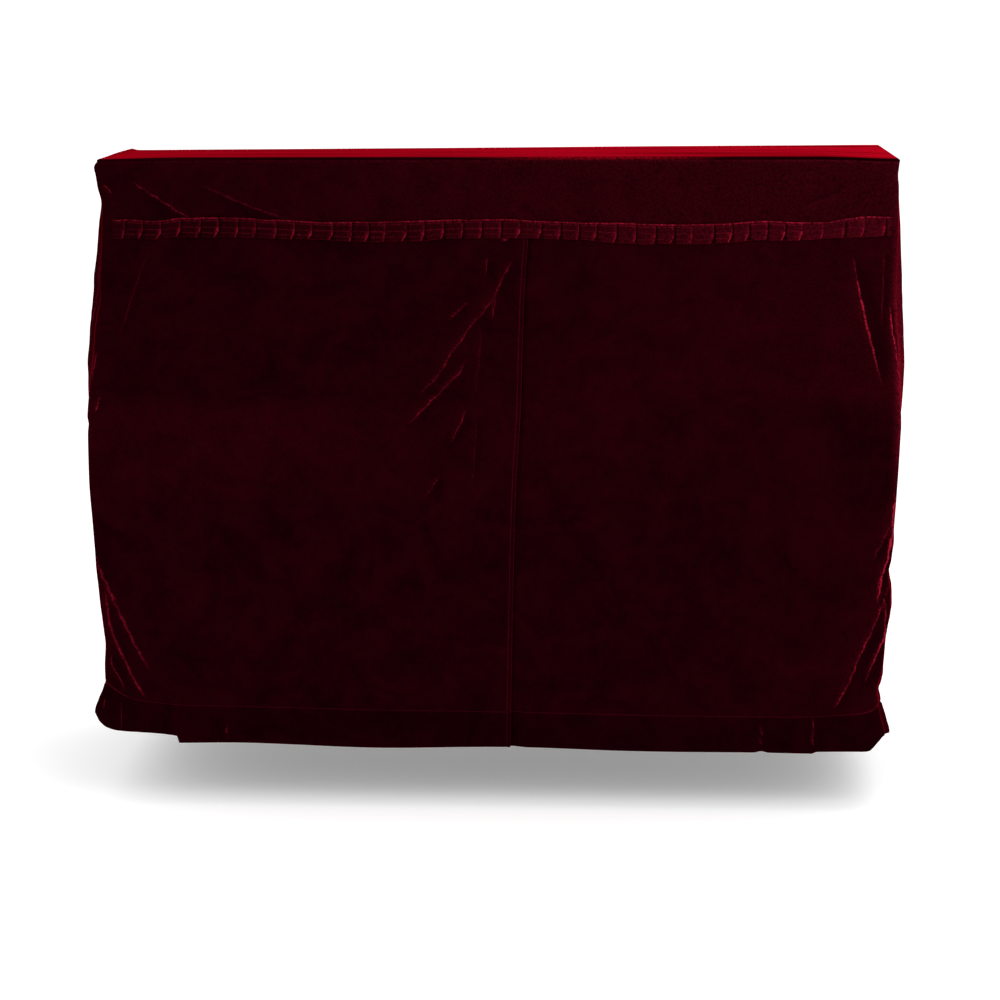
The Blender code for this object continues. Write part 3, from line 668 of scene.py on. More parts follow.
# A side panel's columns, as shares of the way to the back. At either end the last two are turned in.
SIDE_SHARES = steps((0.006, 0.0016), (0.12, 0.006), (0.96, 0.0115), (0.994, 0.006), (1, 0.002))
SIDE_SHARES = np.pad(SIDE_SHARES, 2, mode="edge")[None, :]
SIDE_INSIDE = np.zeros(SIDE_SHARES.shape)
SIDE_INSIDE[:, [0, 1, -2, -1]] = SIDE_ALLOWANCE
SIDE_HOOKED = np.zeros(SIDE_SHARES.shape)
SIDE_HOOKED[:, [0, -1]] = SEAM_HOOK


# ---- the front
def corner_out(side, row):
    """How far a front corner is from the middle at each row."""
    corner, end = (LEFT_CORNER, 0) if side < 0 else (RIGHT_CORNER, -1)
    return read(corner, hang(row, FRONT_HEM.stitch[end], FRONT_HEM.edge[end]), "out")


def gather(x, row):
    """Small upright ripples where the curtains are gathered under the band."""
    pitch = (BAND.x[-1] - BAND.x[0]) / PLEATS
    ripple = np.sin(2 * math.pi * x / pitch + 2 * np.sin(9 * x))
    ripple = ripple + 0.6 * np.sin(5.1 * math.pi * x / pitch)
    return GATHER_LIFT * ripple * np.exp(-np.maximum(row - BAND_FOOT, 0) / GATHER_FALL)


def front_sheet(rows, near, far, left, right, ends, creases, tuck_from=None):
    """A piece of the front between its left and right edges.

    tuck_from: the edge of the other curtain, where it lies on this one.
    """
    row, behind, turned = turn_up(rows)
    from_left, from_right, x, back, turn = lay_across(row, near, far, left(row), right(row), ends, FRONT_STEP,
                                                      turned)
    to_seam = np.minimum(from_left if ends[0] is seam_end else 1,
                         from_right if ends[1] is seam_end else 1)
    end = 0 if ends[0] is seam_end else -1
    at_corner = ease(1 - to_seam / CORNER_HEM)
    depth = hang(row, *(mix(read(FRONT_HEM, x, name), getattr(FRONT_HEM, name)[end], at_corner)
                        for name in ("stitch", "edge")))

    free = ease(np.abs(row - YOKE_DROP) / BAND_FADE)
    sway = FRONT_SWAY * waves(x, row, FRONT_WAVES, seed=4) * ease(to_seam / SWAY_FADE) * free
    lift, light_and_shade_beside, crest, shine = crease_relief(creases + HEM_CREASES, x, -depth)
    lift *= ease(to_seam / SEAM_FADE)
    tuck = 0
    if tuck_from is not None:
        tuck = 1 - ease((x - tuck_from(row) - FOLD_ROUND) / TUCK_EASE)
        lift *= 1 - tuck
    relief = (hem_relief(row) + lift) * mix(1, INNER_RELIEF, turned) + sway
    if ends != (seam_end, seam_end):
        relief = relief + gather(x, row) * free

    reach = read(FRONT, row, "reach")
    lean = np.hypot(1, np.gradient(reach, axis=0) / np.maximum(np.gradient(row, axis=0), 1e-4))
    lean = np.where(row < KNEE_DROP, lean, 1)
    inset = behind + tuck * lean * (TUCK + HEM_TUCK * ease((row - HEM_LINE) / HEM_TUCK_EASE + 1))
    share = (x - LEFT_CORNER_X) / (RIGHT_CORNER_X - LEFT_CORNER_X)
    # painted light and shade across the front
    painted_gradient = mix(read(FRONT_PAINTED_LIGHT, row, "left"), read(FRONT_PAINTED_LIGHT, row, "right"), share)
    foot_glow = ease((row - FOOT_GLOW_DROP) / FOOT_GLOW_EASE) * peak(x - LEFT_CORNER_X, FOOT_GLOW_WIDTH)
    # painted light on the left corner's foot and beside creases, painted shade on the hem
    parted = painted_gradient + FOOT_GLOW * foot_glow + light_and_shade_beside - HEM_SHADE * ease((row - HEM_LINE) / HEM_EASE)
    if tuck_from is not None:
        # a painted shadow beside the left curtain's free edge
        parted = parted - EDGE_SHADE * peak(x - tuck_from(row), EDGE_SHADOW)
    # painted highlights along the hem's stitches, the seams and the free edge
    lines = mix(HEM_GLEAM, CORNER_GLEAM, peak(to_seam, CORNER_EASE)) * hem_gleam(row)
    for kind, distance, column in zip(ends, (from_left, from_right), ("left", "right")):
        if kind is seam_end:
            inset = inset + seam_dip(distance)
            # painted sheen on the rounded edge beside a seam
            parted = parted + read(EDGE_PAINTED_SHEEN, row, column) * peak(distance, EDGE_SHEEN_WIDTH)
            lines = np.maximum(lines, read(SEAM_GLEAM, row, column) * peak(distance, SEAM_WIDTH))
        if kind is folded_end:
            stitched = distance - FOLD_ROUND - EDGE_HEM
            inset = inset + EDGE_DIP * peak(stitched, EDGE_DIP_WIDTH) * (1 - turned)
            edges = np.maximum(peak(distance, EDGE_GLEAM_WIDTH), peak(stitched, EDGE_STITCH_WIDTH))
            lines = np.maximum(lines, EDGE_GLEAM * edges)
            back = back * lean
    face_turn = np.where((turn > 0) & (ends[1] is folded_end), 0, turn)
    points = place(x + relief * np.sin(face_turn), reach - back + relief * np.cos(face_turn), turn, inset,
                   below_lid(x, depth, 0))
    return Sheet(points, draw_lines(parted, lines, turned), crest, shine, grid(from_left, -rows))


def front_sheets():
    """The yoke and both curtains, for their nodes."""
    def left_end(row):
        return -corner_out(-1, row)

    def right_end(row):
        return corner_out(1, row)

    def opening(column):
        return lambda row: read(OPENING, row, column)

    return {
        "front_yoke": front_sheet(YOKE_ROWS, YOKE_ENDS, YOKE_ENDS, left_end, right_end,
                                  (seam_end, seam_end), YOKE_CREASES),
        "curtain_left": front_sheet(CURTAIN_ROWS, CORNER_END, OPENING_END, left_end, opening("left"),
                                    (seam_end, folded_end), LEFT_CREASES),
        "curtain_right": front_sheet(CURTAIN_ROWS, TUCKED_END, CORNER_END, opening("right"), right_end,
                                     (plain_end, seam_end), RIGHT_CREASES, opening("left")),
    }


# ---- the sides, back and top
def uncreased(points, parted, flat):
    return Sheet(points, parted, np.full(points.shape[:2], CREST_END), np.zeros(points.shape[:2]), flat)


def side_sheet(side):
    """A side panel, with its columns to the right as seen from outside."""
    name, end, share = ("left", 0, SIDE_SHARES[:, ::-1]) if side < 0 else ("right", -1, SIDE_SHARES)
    row, behind, turned = turn_up(SIDE_ROWS)
    reach = read(FRONT, row, "reach")
    depth_to_back = reach + HALF_DEPTH
    y = mix(EDGE_ROUND + SEAM - reach, HALF_DEPTH - EDGE_ROUND - SEAM, share)
    y = y + (2 * share - 1) * SIDE_HOOKED * sewn(row)
    to_back = ease(share / HEM_RISE_END[side])
    depth = hang(row, mix(FRONT_HEM.stitch[end], SIDE_STITCH_BACK, to_back),
                 mix(FRONT_HEM.edge[end], SIDE_HEM_BACK, to_back))

    swell = ease((y + reach - EDGE_ROUND) / BULGE_DEPTH) * ease((1 - share) / BULGE_END)
    hollow = np.sin(math.pi * share) ** 2 * read(SIDE, row, "hollow")
    to_seam = np.minimum(share, 1 - share) * depth_to_back
    lift, light_and_shade_beside, crest, shine = crease_relief(SIDE_CREASES, -y, -depth)
    sway = SIDE_SWAY * (waves(y, row, SIDE_WAVES, seed=11 + side) - 1)
    sway = sway * ease((row - SIDE_SWAY_DROP) / SIDE_SWAY_EASE)
    inner = mix(1, INNER_RELIEF, turned)
    relief = (lift * inner + sway) * ease(to_seam / SWAY_FADE)
    relief = relief + hem_relief(row) * inner * ease(to_seam / SEAM_FADE)
    out = mix(corner_out(side, row), read(SIDE, row, "back"), share)
    out = out + swell * read(SIDE, row, name) - hollow + relief - behind
    out = out - seam_dip(to_seam) - SIDE_INSIDE * sewn(row)
    from_front = share * depth_to_back
    # painted sheen near the front seam, with painted light and shade beside creases
    parted = light_and_shade_beside + read(EDGE_PAINTED_SHEEN, row, name) * peak(from_front, SIDE_EDGE_SHEEN_WIDTH)
    # painted highlights along the seam and the hem's stitches
    lines = np.maximum(read(SEAM_GLEAM, row, name) * peak(from_front, SEAM_WIDTH),
                       HEM_GLEAM * hem_gleam(row))
    share_back = np.clip((y + HALF_DEPTH) / (2 * HALF_DEPTH), 0, 1)
    points = grid(side * out, y, below_lid(side * out, depth, share_back))
    flat = grid(side * (y + (2 * share - 1) * SIDE_INSIDE), -SIDE_ROWS)
    return Sheet(points, draw_lines(parted, lines, turned), crest, shine, flat)


def back_sheet():
    """The back panel, laid as seen from behind."""
    row, behind, turned = turn_up(BACK_ROWS)
    half = read(SIDE, row, "back")
    from_left, from_right, x, back, turn = lay_across(row, BACK_END, BACK_END, -half, half,
                                                      (seam_end, seam_end), BACK_STEP)
    to_seam = np.minimum(from_left, from_right)
    inner = ease(to_seam / (BACK_WAVE_END * 2 * half))
    depth = hang(row, HEM_LINE, mix(SIDE_HEM_BACK, HEM_DROP, inner))
    wave = np.sin(2 * math.pi * BACK_WAVES * (x / half / 2 + 0.03 * np.sin(7 * x)))
    wave = BACK_WAVE_LIFT * ease(row / HEM_DROP) * (wave + 0.5 * waves(x, row, BACK_RIPPLES, seed=23))
    hem = hem_relief(row) * mix(1, INNER_RELIEF, turned) * ease(to_seam / SEAM_FADE)
    inset = behind - wave * inner - hem + seam_dip(to_seam)
    # painted highlights along the hem's stitches and the seams
    parted = np.maximum(HEM_GLEAM * hem_gleam(row) * (1 - turned), BACK_GLEAM * peak(to_seam, SEAM_WIDTH))
    points = place(x, HALF_DEPTH - back, turn, inset, below_lid(-x, depth, 1))
    return uncreased(points * np.array([-1, -1, 1]), parted, grid(from_left, -BACK_ROWS))


def round_plan(inward, along, radius):
    """Round a rectangle's corner: places this far in from its two edges, moved onto rounded rings."""
    ring = np.minimum(inward, along)
    rest = np.maximum(radius - ring, 1e-6)
    half_turn = np.where(inward <= along, (radius - along) / rest, 2 - (radius - inward) / rest)
    angle = np.clip(half_turn, 0, 2) * math.pi / 4
    near = (inward < radius) & (along < radius)
    new_inward = np.where(near, radius - rest * np.cos(angle), inward)
    new_along = np.where(near, radius - rest * np.sin(angle), along)
    return new_inward, new_along, ring


def top_sheet():
    """The top panel: flat, with its edges turned down all round to the seam."""
    angle = np.linspace(0, math.pi / 2, TOP_RIM_STEPS + 1)
    rim = TOP_ROUND * (1 - np.cos(np.insert(angle, 1, TOP_RIM_EDGE)))
    rim = np.concatenate([rim, rim[-1] + steps((0.008, 0.0012), (0.06, 0.0045))[1:]])
    down = lay_columns(rim, rim, np.array([[2.0 * HALF_DEPTH]]), TOP_STEP)[0][:, None]
    y = HALF_DEPTH - down
    share_back = np.clip((y + HALF_DEPTH) / (2 * HALF_DEPTH), 0, 1)
    left = -mix(LEFT_CORNER.out[0], SIDE.back[0], share_back)
    right = mix(RIGHT_CORNER.out[0], SIDE.back[0], share_back)
    from_left = lay_columns(rim, rim, right - left, TOP_STEP)
    from_right = right - left - from_left
    from_end = np.minimum(from_left, from_right)
    inward, along, ring = round_plan(from_end, np.minimum(down, 2 * HALF_DEPTH - down), TOP_CORNER)
    x = np.where(from_left < from_right, left + inward, right - inward)
    y = np.where(y > 0, HALF_DEPTH - along, along - HALF_DEPTH)
    over = np.maximum(TOP_ROUND - ring, 0)
    drop = TOP_ROUND - np.sqrt(TOP_ROUND ** 2 - over ** 2)
    streaks = waves(x, y, TOP_STREAKS, seed=17)
    sway = TOP_SWAY * (waves(x, y, TOP_WAVES, seed=7) + STREAK_LIFT * streaks) * ease(ring / TOP_FADE)
    brow = TOP_BROW * (1 - np.maximum(1 - (y + HALF_DEPTH) / BROW_WIDTH, 0) ** 2) * (1 - share_back)
    height = lid_height(x, share_back) + CLOTH - drop + sway + brow * ease(from_end / BROW_END)
    # painted light, brighter to the right and towards the back, and painted shade along the edges
    painted_gradient = mix(*TOP_PAINTED_LIGHT, (from_left / (right - left)) ** TOP_LIGHT_BEND) * mix(*TOP_LIGHT_BACK, share_back)
    parted = painted_gradient * mix(*TOP_STREAK_LIGHT, streaks) - TOP_EDGE_SHADE * peak(ring, TOP_EDGE_WIDTH)
    return uncreased(grid(x, y, height), parted, grid(from_left, -down))


# ---- the pleated band
# A column of the band: its place across, its height in layers of cloth, the pleat it belongs to,
# how much it moves with the fold of that pleat, and how much painted highlight it gets there.
BandColumn = namedtuple("BandColumn", "x layer pleat fold gleam")


def band_columns():
    """The band's cloth from left to right, folded under at the right of every pleat."""
    layer_round = BAND_LAYER / 2
    angles = np.linspace(0, math.pi, TURN_STEPS + 1)
    columns = []
    start = BAND.x[0]
    for pleat, fold_x in enumerate(PLEAT_FOLDS):
        under = fold_x - PLEAT_UNDER
        uncovered = start + PLEAT_UNDER if pleat else start
        for share in np.linspace(0, 1, FACE_STEPS + 1):
            x = mix(start, fold_x - layer_round, share)
            rise = ease((x - uncovered) / (under - uncovered))
            columns.append(BandColumn(x, 0.5 + 2 * rise, pleat, ease((x - under) / PLEAT_UNDER), 0))
        for angle in angles[1:]:
            x = fold_x - layer_round + layer_round * math.sin(angle)
            columns.append(BandColumn(x, 2 + 0.5 * math.cos(angle), pleat, 1, math.sin(angle)))
        columns.append(BandColumn(mix(fold_x, under, 0.5), 1.5, pleat, 0.5, 0))
        for angle in angles[:-1]:
            x = under + layer_round - layer_round * math.sin(angle)
            columns.append(BandColumn(x, 1 + 0.5 * math.cos(angle), pleat, 0, 0))
        start = under + layer_round
    for share in np.linspace(0, 1, 6):
        columns.append(BandColumn(mix(start, BAND.x[-1], share), 0.5, PLEATS, 0, 0))
    return BandColumn(*np.array(columns).T[:, None, :])


def band_sheet():
    """The band: knife pleats held by rows of stitches, with their lower corners free."""
    x, layer, pleat, fold, crest = band_columns()
    rng = np.random.default_rng(31)

    def each_pleat(low, high):
        return rng.uniform(low, high, PLEATS + 1)[pleat.astype(int)]

    top_shift = each_pleat(-1, 1) * PLEAT_TOP_SHIFT
    foot_shift = each_pleat(-1, 1) * PLEAT_FOOT_SHIFT
    curl = each_pleat(0.35, 1)
    lean = each_pleat(-1, 1) * PLEAT_LEAN
    shine = each_pleat(0.5, 1)
    start = np.array([BAND.x[0], *PLEAT_FOLDS])[pleat.astype(int)]

    down = BAND_ROWS[:, None]
    held = sum(peak(down - row, HELD_WIDTH) for row in STITCH_ROWS)
    free = curl * ease((down - FOOT_FREE) / (1 - FOOT_FREE)) ** 2
    head = ease((STITCH_ROWS[0] - down) / STITCH_ROWS[0])
    stack = 0.5 + (layer - 0.5) * (1 - HELD_FLAT * held)
    puff = BAND_PUFF * (1 - held) * np.abs(np.sin(math.pi * (layer - 0.5) / 2))
    out = BAND_GAP + stack * BAND_LAYER + fold * (FOOT_FLARE * free + HEAD_FLARE * head) + puff
    out = out - STITCH_DIP * held

    top = read(BAND, x, "top") + top_shift * (1 - ease(down / 0.5))
    bottom = read(BAND, x, "bottom") + foot_shift * ease((down - 0.5) / 0.5)
    depth = mix(top, bottom, down) - fold * FOOT_LIFT * free
    base = mix(read(FRONT, top, "reach"), read(FRONT, bottom, "reach"), down)

    # painted highlights on the folds, stitches, edges and curled corners, brighter to the right
    pulled = sum(peak(down - row, PULLED_WIDTH) * each_pleat(0.2, 1) ** 1.3 for row in STITCH_ROWS)
    uneven = waves(x, down * BAND_HEIGHT, BAND_PATCH, seed=37)
    uneven = np.clip(mix(*BAND_PATCH_GLEAM, uneven), *BAND_PATCH_LIMITS)
    low = ease((down - LOW_FROM) / LOW_EASE)
    head = HEAD_GLEAM * peak(down - HEAD_LINE, HEAD_WIDTH)
    foot = FOOT_GLEAM * peak(1 - down, FOOT_WIDTH)
    stitched = PULLED_GLEAM * pulled * uneven * mix(*FACE_PULLED, fold) * (layer > 0.6)
    gleam = shine * (crest * mix(*CREST_GLEAM, low) + FACE_GLEAM * fold ** 4)
    for glint in (stitched, shine * uneven * (head + foot), CURL_GLEAM * low * uneven * curl * fold ** 1.5):
        gleam = np.maximum(gleam, glint)
    share = (x - BAND.x[0]) / (BAND.x[-1] - BAND.x[0])
    gleam = gleam * mix(*BAND_BRIGHT, share) + mix(*BAND_PAINTED_LIGHT, share ** 1.5)
    # painted shade beside each fold
    beside = peak((x - start) / PLEAT_SHADOW - 1, 1)
    gleam = gleam - PLEAT_SHADE * beside * (gleam < PLEAT_SHADE_UNDER)
    across = x + fold * (lean * (0.5 - down) - FOOT_CURL * free)
    points = grid(across, -(base + out), -depth)
    return uncreased(points, gleam, grid(lengths_to(points[0])[None, :], -down * BAND_HEIGHT))


# ---- threads
def stitch_row(line, outward):
    """Stitches along a line of points: each is a short round stretch of thread, sunk at its ends.

    Returns rings of points: stitches x rings x sides x 3.
    """
    gone = lengths_to(line)
    at = np.linspace(0, gone[-1], max(2, round(gone[-1] / (STITCH_PITCH / STITCH_PARTS)) + 1))
    marks = np.stack([np.interp(at, gone, line[:, k]) for k in range(3)], axis=1)
    bow = np.sin(math.pi * np.linspace(0, 1, STITCH_RINGS))
    size = THREAD_RADIUS * mix(0.45, 1, bow)
    angle = (np.arange(THREAD_SIDES) * 2 * math.pi / THREAD_SIDES)[:, None]
    rings = []
    for first in range(0, len(marks) - STITCH_RINGS, STITCH_PARTS):
        middle = marks[first:first + STITCH_RINGS]
        way = middle[-1] - middle[0]
        way = way / np.linalg.norm(way)
        side = np.cross(way, outward)
        side = side / np.linalg.norm(side)
        up = np.cross(side, way)
        centre = middle + up * (STITCH_RISE * bow - STITCH_SINK)[:, None]
        ring = np.cos(angle) * side + np.sin(angle) * up
        rings.append(centre[:, None, :] + size[:, None, None] * ring)
    return np.array(rings)


def smooth_mesh(name, points, faces):
    mesh = bpy.data.meshes.new(name)
    mesh.from_pydata(points.reshape(-1, 3).tolist(), [], faces)
    mesh.polygons.foreach_set("use_smooth", [True] * len(mesh.polygons))
    return mesh


def thread_mesh(name, rows):
    """One mesh of every stitch in several rows."""
    rings = np.concatenate(rows)
    count, along, around = rings.shape[:3]
    first = np.arange(count)[:, None, None] * along * around
    ring = first + np.arange(along - 1)[None, :, None] * around
    corner = np.arange(around)
    after = (corner + 1) % around
    quads = grid(ring + corner, ring + after, ring + around + after, ring + around + corner)
    caps = np.stack([first[:, 0] + corner[::-1], first[:, 0] + (along - 1) * around + corner], axis=1)
    return smooth_mesh(name, rings, quads.reshape(-1, 4).tolist() + caps.reshape(-1, around).tolist())


# ---- materials
def fill(tree, node, inputs):
    """Give a shader node its inputs, each a value or the socket that feeds it."""
    for socket, value in inputs.items():
        if isinstance(value, bpy.types.NodeSocket):
            tree.links.new(value, node.inputs[socket])
        else:
            node.inputs[socket].default_value = value


def add_node(tree, kind, output, inputs=None, **settings):
    """Add a shader node and give back its output."""
    made = tree.nodes.new("ShaderNode" + kind)
    for name, value in settings.items():
        setattr(made, name, value)
    fill(tree, made, inputs or {})
    return made.outputs[output]


def make_material(name, paint):
    """A material whose shader takes the inputs that paint gives for its node tree."""
    material = bpy.data.materials.new(name)
    material.use_nodes = True
    tree = material.node_tree
    fill(tree, tree.nodes["Principled BSDF"], paint(tree))
    return material


def object_place(tree):
    return add_node(tree, "TexCoord", "Object")


def noise(tree, place, scale, detail=2.0, roughness=0.5, distortion=0.0):
    return add_node(tree, "TexNoise", "Fac", {"Vector": place, "Scale": scale, "Detail": detail,
                                              "Roughness": roughness, "Distortion": distortion})


def spread(tree, value, low, high, new_low=0.0, new_high=1.0):
    """Stretch the part of a value from low to high over a new range."""
    return add_node(tree, "MapRange", "Result", {"Value": value, "From Min": low, "From Max": high,
                                                 "To Min": new_low, "To Max": new_high})


def blend(tree, share, first, second):
    return add_node(tree, "Mix", "Result", {"Factor": share, "A": first, "B": second}, data_type="RGBA")


def calculate(tree, operation, first, second=0.0):
    return add_node(tree, "Math", 0, {0: first, 1: second}, operation=operation)


def emboss(tree, height, strength, distance, **more):
    return add_node(tree, "Bump", "Normal", {"Height": height, "Strength": strength,
                                             "Distance": distance, **more})


def velvet_pile(name, sheen, highlight_colour=HIGHLIGHT_CRIMSON):
    """Crushed velvet: nearly black where it faces you, with painted highlights and painted shade from its
    attributes.
    """
    def paint(tree):
        place = object_place(tree)
        parted, crest, shine = (add_node(tree, "Attribute", "Fac", attribute_name=layer)
                                for layer in ("parted", "crest", "shine"))
        nap = noise(tree, place, 16.0, 4.0, 0.62, 0.6)
        crush = noise(tree, place, 75.0, 3.0, 0.6, 0.4)
        grain = noise(tree, place, 1100.0, 1.0, 0.6)
        depth = calculate(tree, "ADD", nap, spread(tree, crush, 0.35, 0.7, -0.06, 0.07))
        ground = blend(tree, spread(tree, depth, 0.3, 0.72), DEEP_WINE, WINE)
        # painted shade: below 0 the first attribute darkens the ground
        ground = blend(tree, spread(tree, parted, -1.0, 0.0, 0.9, 0.0), ground, GRAIN_AND_SHADE_DARK)
        broken = spread(tree, noise(tree, place, 240.0, 3.0, 0.75), 0.36, 0.6, 0.1, 1.2)
        ragged = spread(tree, noise(tree, place, 170.0, 2.0, 0.6), 0.3, 0.7, -0.6, 0.6)
        across = calculate(tree, "ADD", crest, ragged)
        square = calculate(tree, "MULTIPLY", across, across)
        line = calculate(tree, "EXPONENT", calculate(tree, "MULTIPLY", square, -1.0))
        line = calculate(tree, "MULTIPLY", shine, line)
        # painted highlights: the first attribute above 0 and the crease lines turn it towards the highlight
        # colour
        highlight_share = calculate(tree, "MAXIMUM", spread(tree, parted, 0.0, 1.0), line)
        colour = blend(tree, calculate(tree, "MULTIPLY", broken, highlight_share), ground, highlight_colour)
        fine = emboss(tree, grain, 0.25, 0.0004)
        return {
            "Base Color": blend(tree, spread(tree, grain, 0.25, 0.75, 0.26, 0.0), colour, GRAIN_AND_SHADE_DARK),
            "Normal": emboss(tree, crush, 0.3, 0.0012, Normal=fine), "Roughness": 0.92,
            "Specular IOR Level": 0.0, "Sheen Weight": sheen, "Sheen Roughness": SHEEN_ROUGHNESS,
            "Sheen Tint": SHEEN_TINT,
        }
    return make_material(name, paint)


def backing_paint(tree):
    """The back of the velvet: a plain close weave in a duller wine."""
    threads = {"Vector": add_node(tree, "UVMap", "UV", uv_map="flat"), "Scale": 260.0,
               "Distortion": 0.6, "Detail": 1.0}
    across, down = (add_node(tree, "TexWave", "Fac", threads, bands_direction=way) for way in ("X", "Y"))
    weave = calculate(tree, "MULTIPLY", across, down)
    worn = noise(tree, object_place(tree), 14.0, 3.0)
    colour = blend(tree, spread(tree, worn, 0.3, 0.7), BACKING_DARK, BACKING_LIGHT)
    return {"Base Color": blend(tree, spread(tree, weave, 0.0, 0.5, 0.45, 0.0), colour, GRAIN_AND_SHADE_DARK),
            "Normal": emboss(tree, weave, 0.5, 0.0003), "Roughness": 0.95, "Specular IOR Level": 0.1}


def thread_paint(tree):
    twist = noise(tree, object_place(tree), 1600.0, 1.0)
    return {"Base Color": blend(tree, spread(tree, twist, 0.35, 0.65), THREAD_DARK, THREAD_LIGHT),
            "Normal": emboss(tree, twist, 0.4, 0.0002), "Roughness": 0.8, "Specular IOR Level": 0.0}


def floor_paint(_):
    return {"Base Color": FLOOR_COLOUR, "Emission Color": FLOOR_COLOUR, "Emission Strength": FLOOR_GLOW,
            "Roughness": 0.9, "Specular IOR Level": 0.0}


# ---- pieces
def add(name, data):
    """Put an object with this mesh, lamp or lens into the scene."""
    made = bpy.data.objects.new(name, data)
    bpy.context.scene.collection.objects.link(made)
    return made


def velvet_part(mesh):
    piece = add(mesh.name, mesh)
    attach(piece, "root")
    return piece


def cloth_piece(node, sheet, thickness, materials, painted_shade_rows=slice(0), offset=-1.0):
    """A panel of velvet that stands for a node of the frame: pile outside, woven backing inside.

    Faces in the given rows take the third material: a copy of the velvet with less sheen, which paints shade
    on them.
    """
    rows, columns = sheet.points.shape[:2]
    index = np.arange(rows * columns).reshape(rows, columns)
    quads = grid(index[:-1, :-1], index[1:, :-1], index[1:, 1:], index[:-1, 1:]).reshape(-1, 4)
    mesh = smooth_mesh(node + "_velvet", sheet.points, quads.tolist())
    for name in ("parted", "crest", "shine"):
        values = np.broadcast_to(getattr(sheet, name), (rows, columns)).ravel()
        mesh.attributes.new(name, "FLOAT", "POINT").data.foreach_set("value", values.astype(np.float32))
    flat = mesh.uv_layers.new(name="flat")
    flat.data.foreach_set("uv", sheet.flat.reshape(-1, 2)[quads.ravel()].astype(np.float32).ravel())
    for material in materials:
        mesh.materials.append(material)
    lay = np.zeros((rows - 1, columns - 1), int)
    lay[painted_shade_rows] = 2
    mesh.polygons.foreach_set("material_index", lay.ravel())
    piece = velvet_part(mesh)
    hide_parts(node)
    thicken = piece.modifiers.new("cloth", "SOLIDIFY")
    thicken.thickness = thickness
    thicken.offset = offset
    thicken.use_even_offset = False
    thicken.material_offset = 1
    return piece


def thread_piece(node, rows, material):
    mesh = thread_mesh(node + "_stitches", rows)
    mesh.materials.append(material)
    return velvet_part(mesh)


def band_stitches(sheet):
    """The stitches across the band, row by row, along the face of each pleat."""
    pleat = band_columns().pleat[0]
    face_middle = np.array([0.0, -BAND_CLOTH / 2.0, 0.0])
    lines = []
    for share in STITCH_ROWS:
        row = sheet.points[nearest(BAND_ROWS, share)]
        end = BAND.x[0]
        for k, fold_x in enumerate([*PLEAT_FOLDS, BAND.x[-1]]):
            face = row[pleat == k]
            seen = (face[:, 0] > end + STITCH_CLEAR) & (np.arange(len(face)) <= FACE_STEPS)
            if seen.sum() > 1:
                lines.append(stitch_row(face[seen] + face_middle, (0, -1, 0)))
            end = fold_x
    return [line for line in lines if line.size]


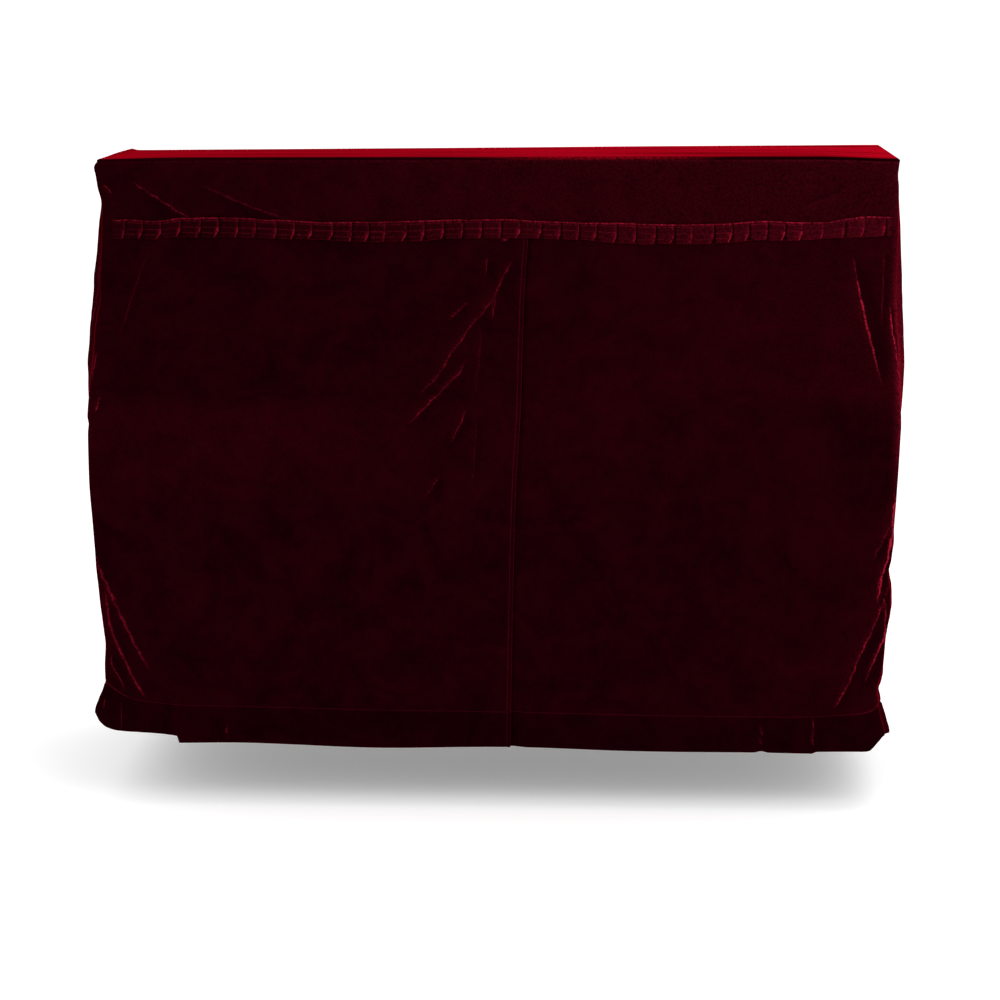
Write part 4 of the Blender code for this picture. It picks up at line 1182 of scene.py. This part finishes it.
def build_cover():
    # copies of the velvet with less sheen paint shade on the sides; the top's copy paints its highlights
    # scarlet
    pile, painted_shade_pile = velvet_pile("velvet_pile", 1.0), velvet_pile("velvet_pile_painted_shade", PAINTED_SHADE_SHEEN)
    piles = {"side_left": painted_shade_pile, "side_right": velvet_pile("velvet_pile_painted_half_shade", HALF_SHADE_SHEEN),
             "top_panel": velvet_pile("velvet_pile_lid", 1.0, LID_HIGHLIGHT_SCARLET)}
    backing = make_material("woven_backing", backing_paint)
    thread = make_material("sewing_thread", thread_paint)
    # the right side's hem takes the copy with the most painted shade
    painted_shade_rows = {"side_right": slice(nearest(SIDE_ROWS[:, 0], HEM_LINE), None)}
    sheets = {"top_panel": top_sheet(), **front_sheets(), "side_left": side_sheet(-1),
              "side_right": side_sheet(1), "back_panel": back_sheet()}
    pieces = {}
    for node, sheet in sheets.items():
        materials = (piles.get(node, pile), backing, painted_shade_pile, backing)
        pieces[node] = cloth_piece(node, sheet, CLOTH, materials, painted_shade_rows.get(node, slice(0)))
    band = band_sheet()
    pieces["pleated_band"] = cloth_piece("pleated_band", band, BAND_CLOTH, (pile, pile), offset=0.0)

    # The seen part of each hem's stitches, without the cloth that is turned inside at its ends.
    hem = {
        "curtain_left": (CURTAIN_ROWS, (0, -1, 0), slice(1, -nearest(OPENING_END, FOLD_ROUND))),
        "curtain_right": (CURTAIN_ROWS, (0, -1, 0), slice(0, -1)),
        "side_left": (SIDE_ROWS, (-1, 0, 0), slice(2, -2)),
        "side_right": (SIDE_ROWS, (1, 0, 0), slice(2, -2)),
        "back_panel": (BACK_ROWS, (0, 1, 0), slice(1, -1)),
    }
    threads = {}
    for node, (rows, outward, seen) in hem.items():
        points = sheets[node].points
        lines = [stitch_row(points[nearest(rows[:, 0], HEM_LINE)][seen], outward)]
        if node == "curtain_left":
            stitched = -1 - nearest(OPENING_END, FOLD_ROUND + EDGE_HEM)
            lines.insert(0, stitch_row(points[2:nearest(rows[:, 0], HEM_EDGE), stitched], outward))
        threads[node] = thread_piece(node, lines, thread)
    threads["pleated_band"] = thread_piece("pleated_band", band_stitches(band), thread)
    return pieces, threads


# ---- the setting
def build_setting():
    """A pale floor under soft, even light."""
    world = bpy.data.worlds.new("studio")
    bpy.context.scene.world = world
    world.use_nodes = True
    background = world.node_tree.nodes["Background"]
    background.inputs["Color"].default_value = (1.0, 1.0, 1.0, 1.0)
    background.inputs["Strength"].default_value = WORLD_LIGHT
    bpy.context.scene.view_settings.view_transform = "Standard"

    mesh = bpy.data.meshes.new("floor")
    bm = bmesh.new()
    bmesh.ops.create_grid(bm, x_segments=2, y_segments=2, size=FLOOR_SIZE)
    bm.to_mesh(mesh)
    bm.free()
    mesh.materials.append(make_material("pale_floor", floor_paint))
    floor = add("floor", mesh)
    floor.location.z = FLOOR_Z

    for light in LIGHTS:
        lamp = bpy.data.lights.new(light.name, "AREA")
        lamp.energy = light.power
        lamp.size = light.size
        holder = add(light.name, lamp)
        holder.location = light.place
        aim = Vector(light.target) - Vector(light.place)
        holder.rotation_euler = aim.to_track_quat("-Z", "Y").to_euler()


def build_camera():
    lens = bpy.data.cameras.new("camera")
    lens.lens = LENS
    lens.sensor_width = SENSOR
    lens.clip_end = 600.0
    camera = add("camera", lens)
    turn = (Matrix.Rotation(math.radians(CAMERA_TURN), 4, "Z")
            @ Matrix.Rotation(math.radians(90.0 - CAMERA_DIP), 4, "X")
            @ Matrix.Rotation(math.radians(CAMERA_ROLL), 4, "Z"))
    camera.matrix_world = Matrix.Translation(CAMERA_PLACE) @ turn
    bpy.context.scene.camera = camera


# ---- a record type for what each piece is cut to
# Fields for a piece's flat size, what it rests on and how it is held; nothing here fills them in.
SheetFact = namedtuple("SheetFact", "flat rests_on held", defaults=["hung"])

build_setting()
build_camera()
pieces, threads = build_cover()
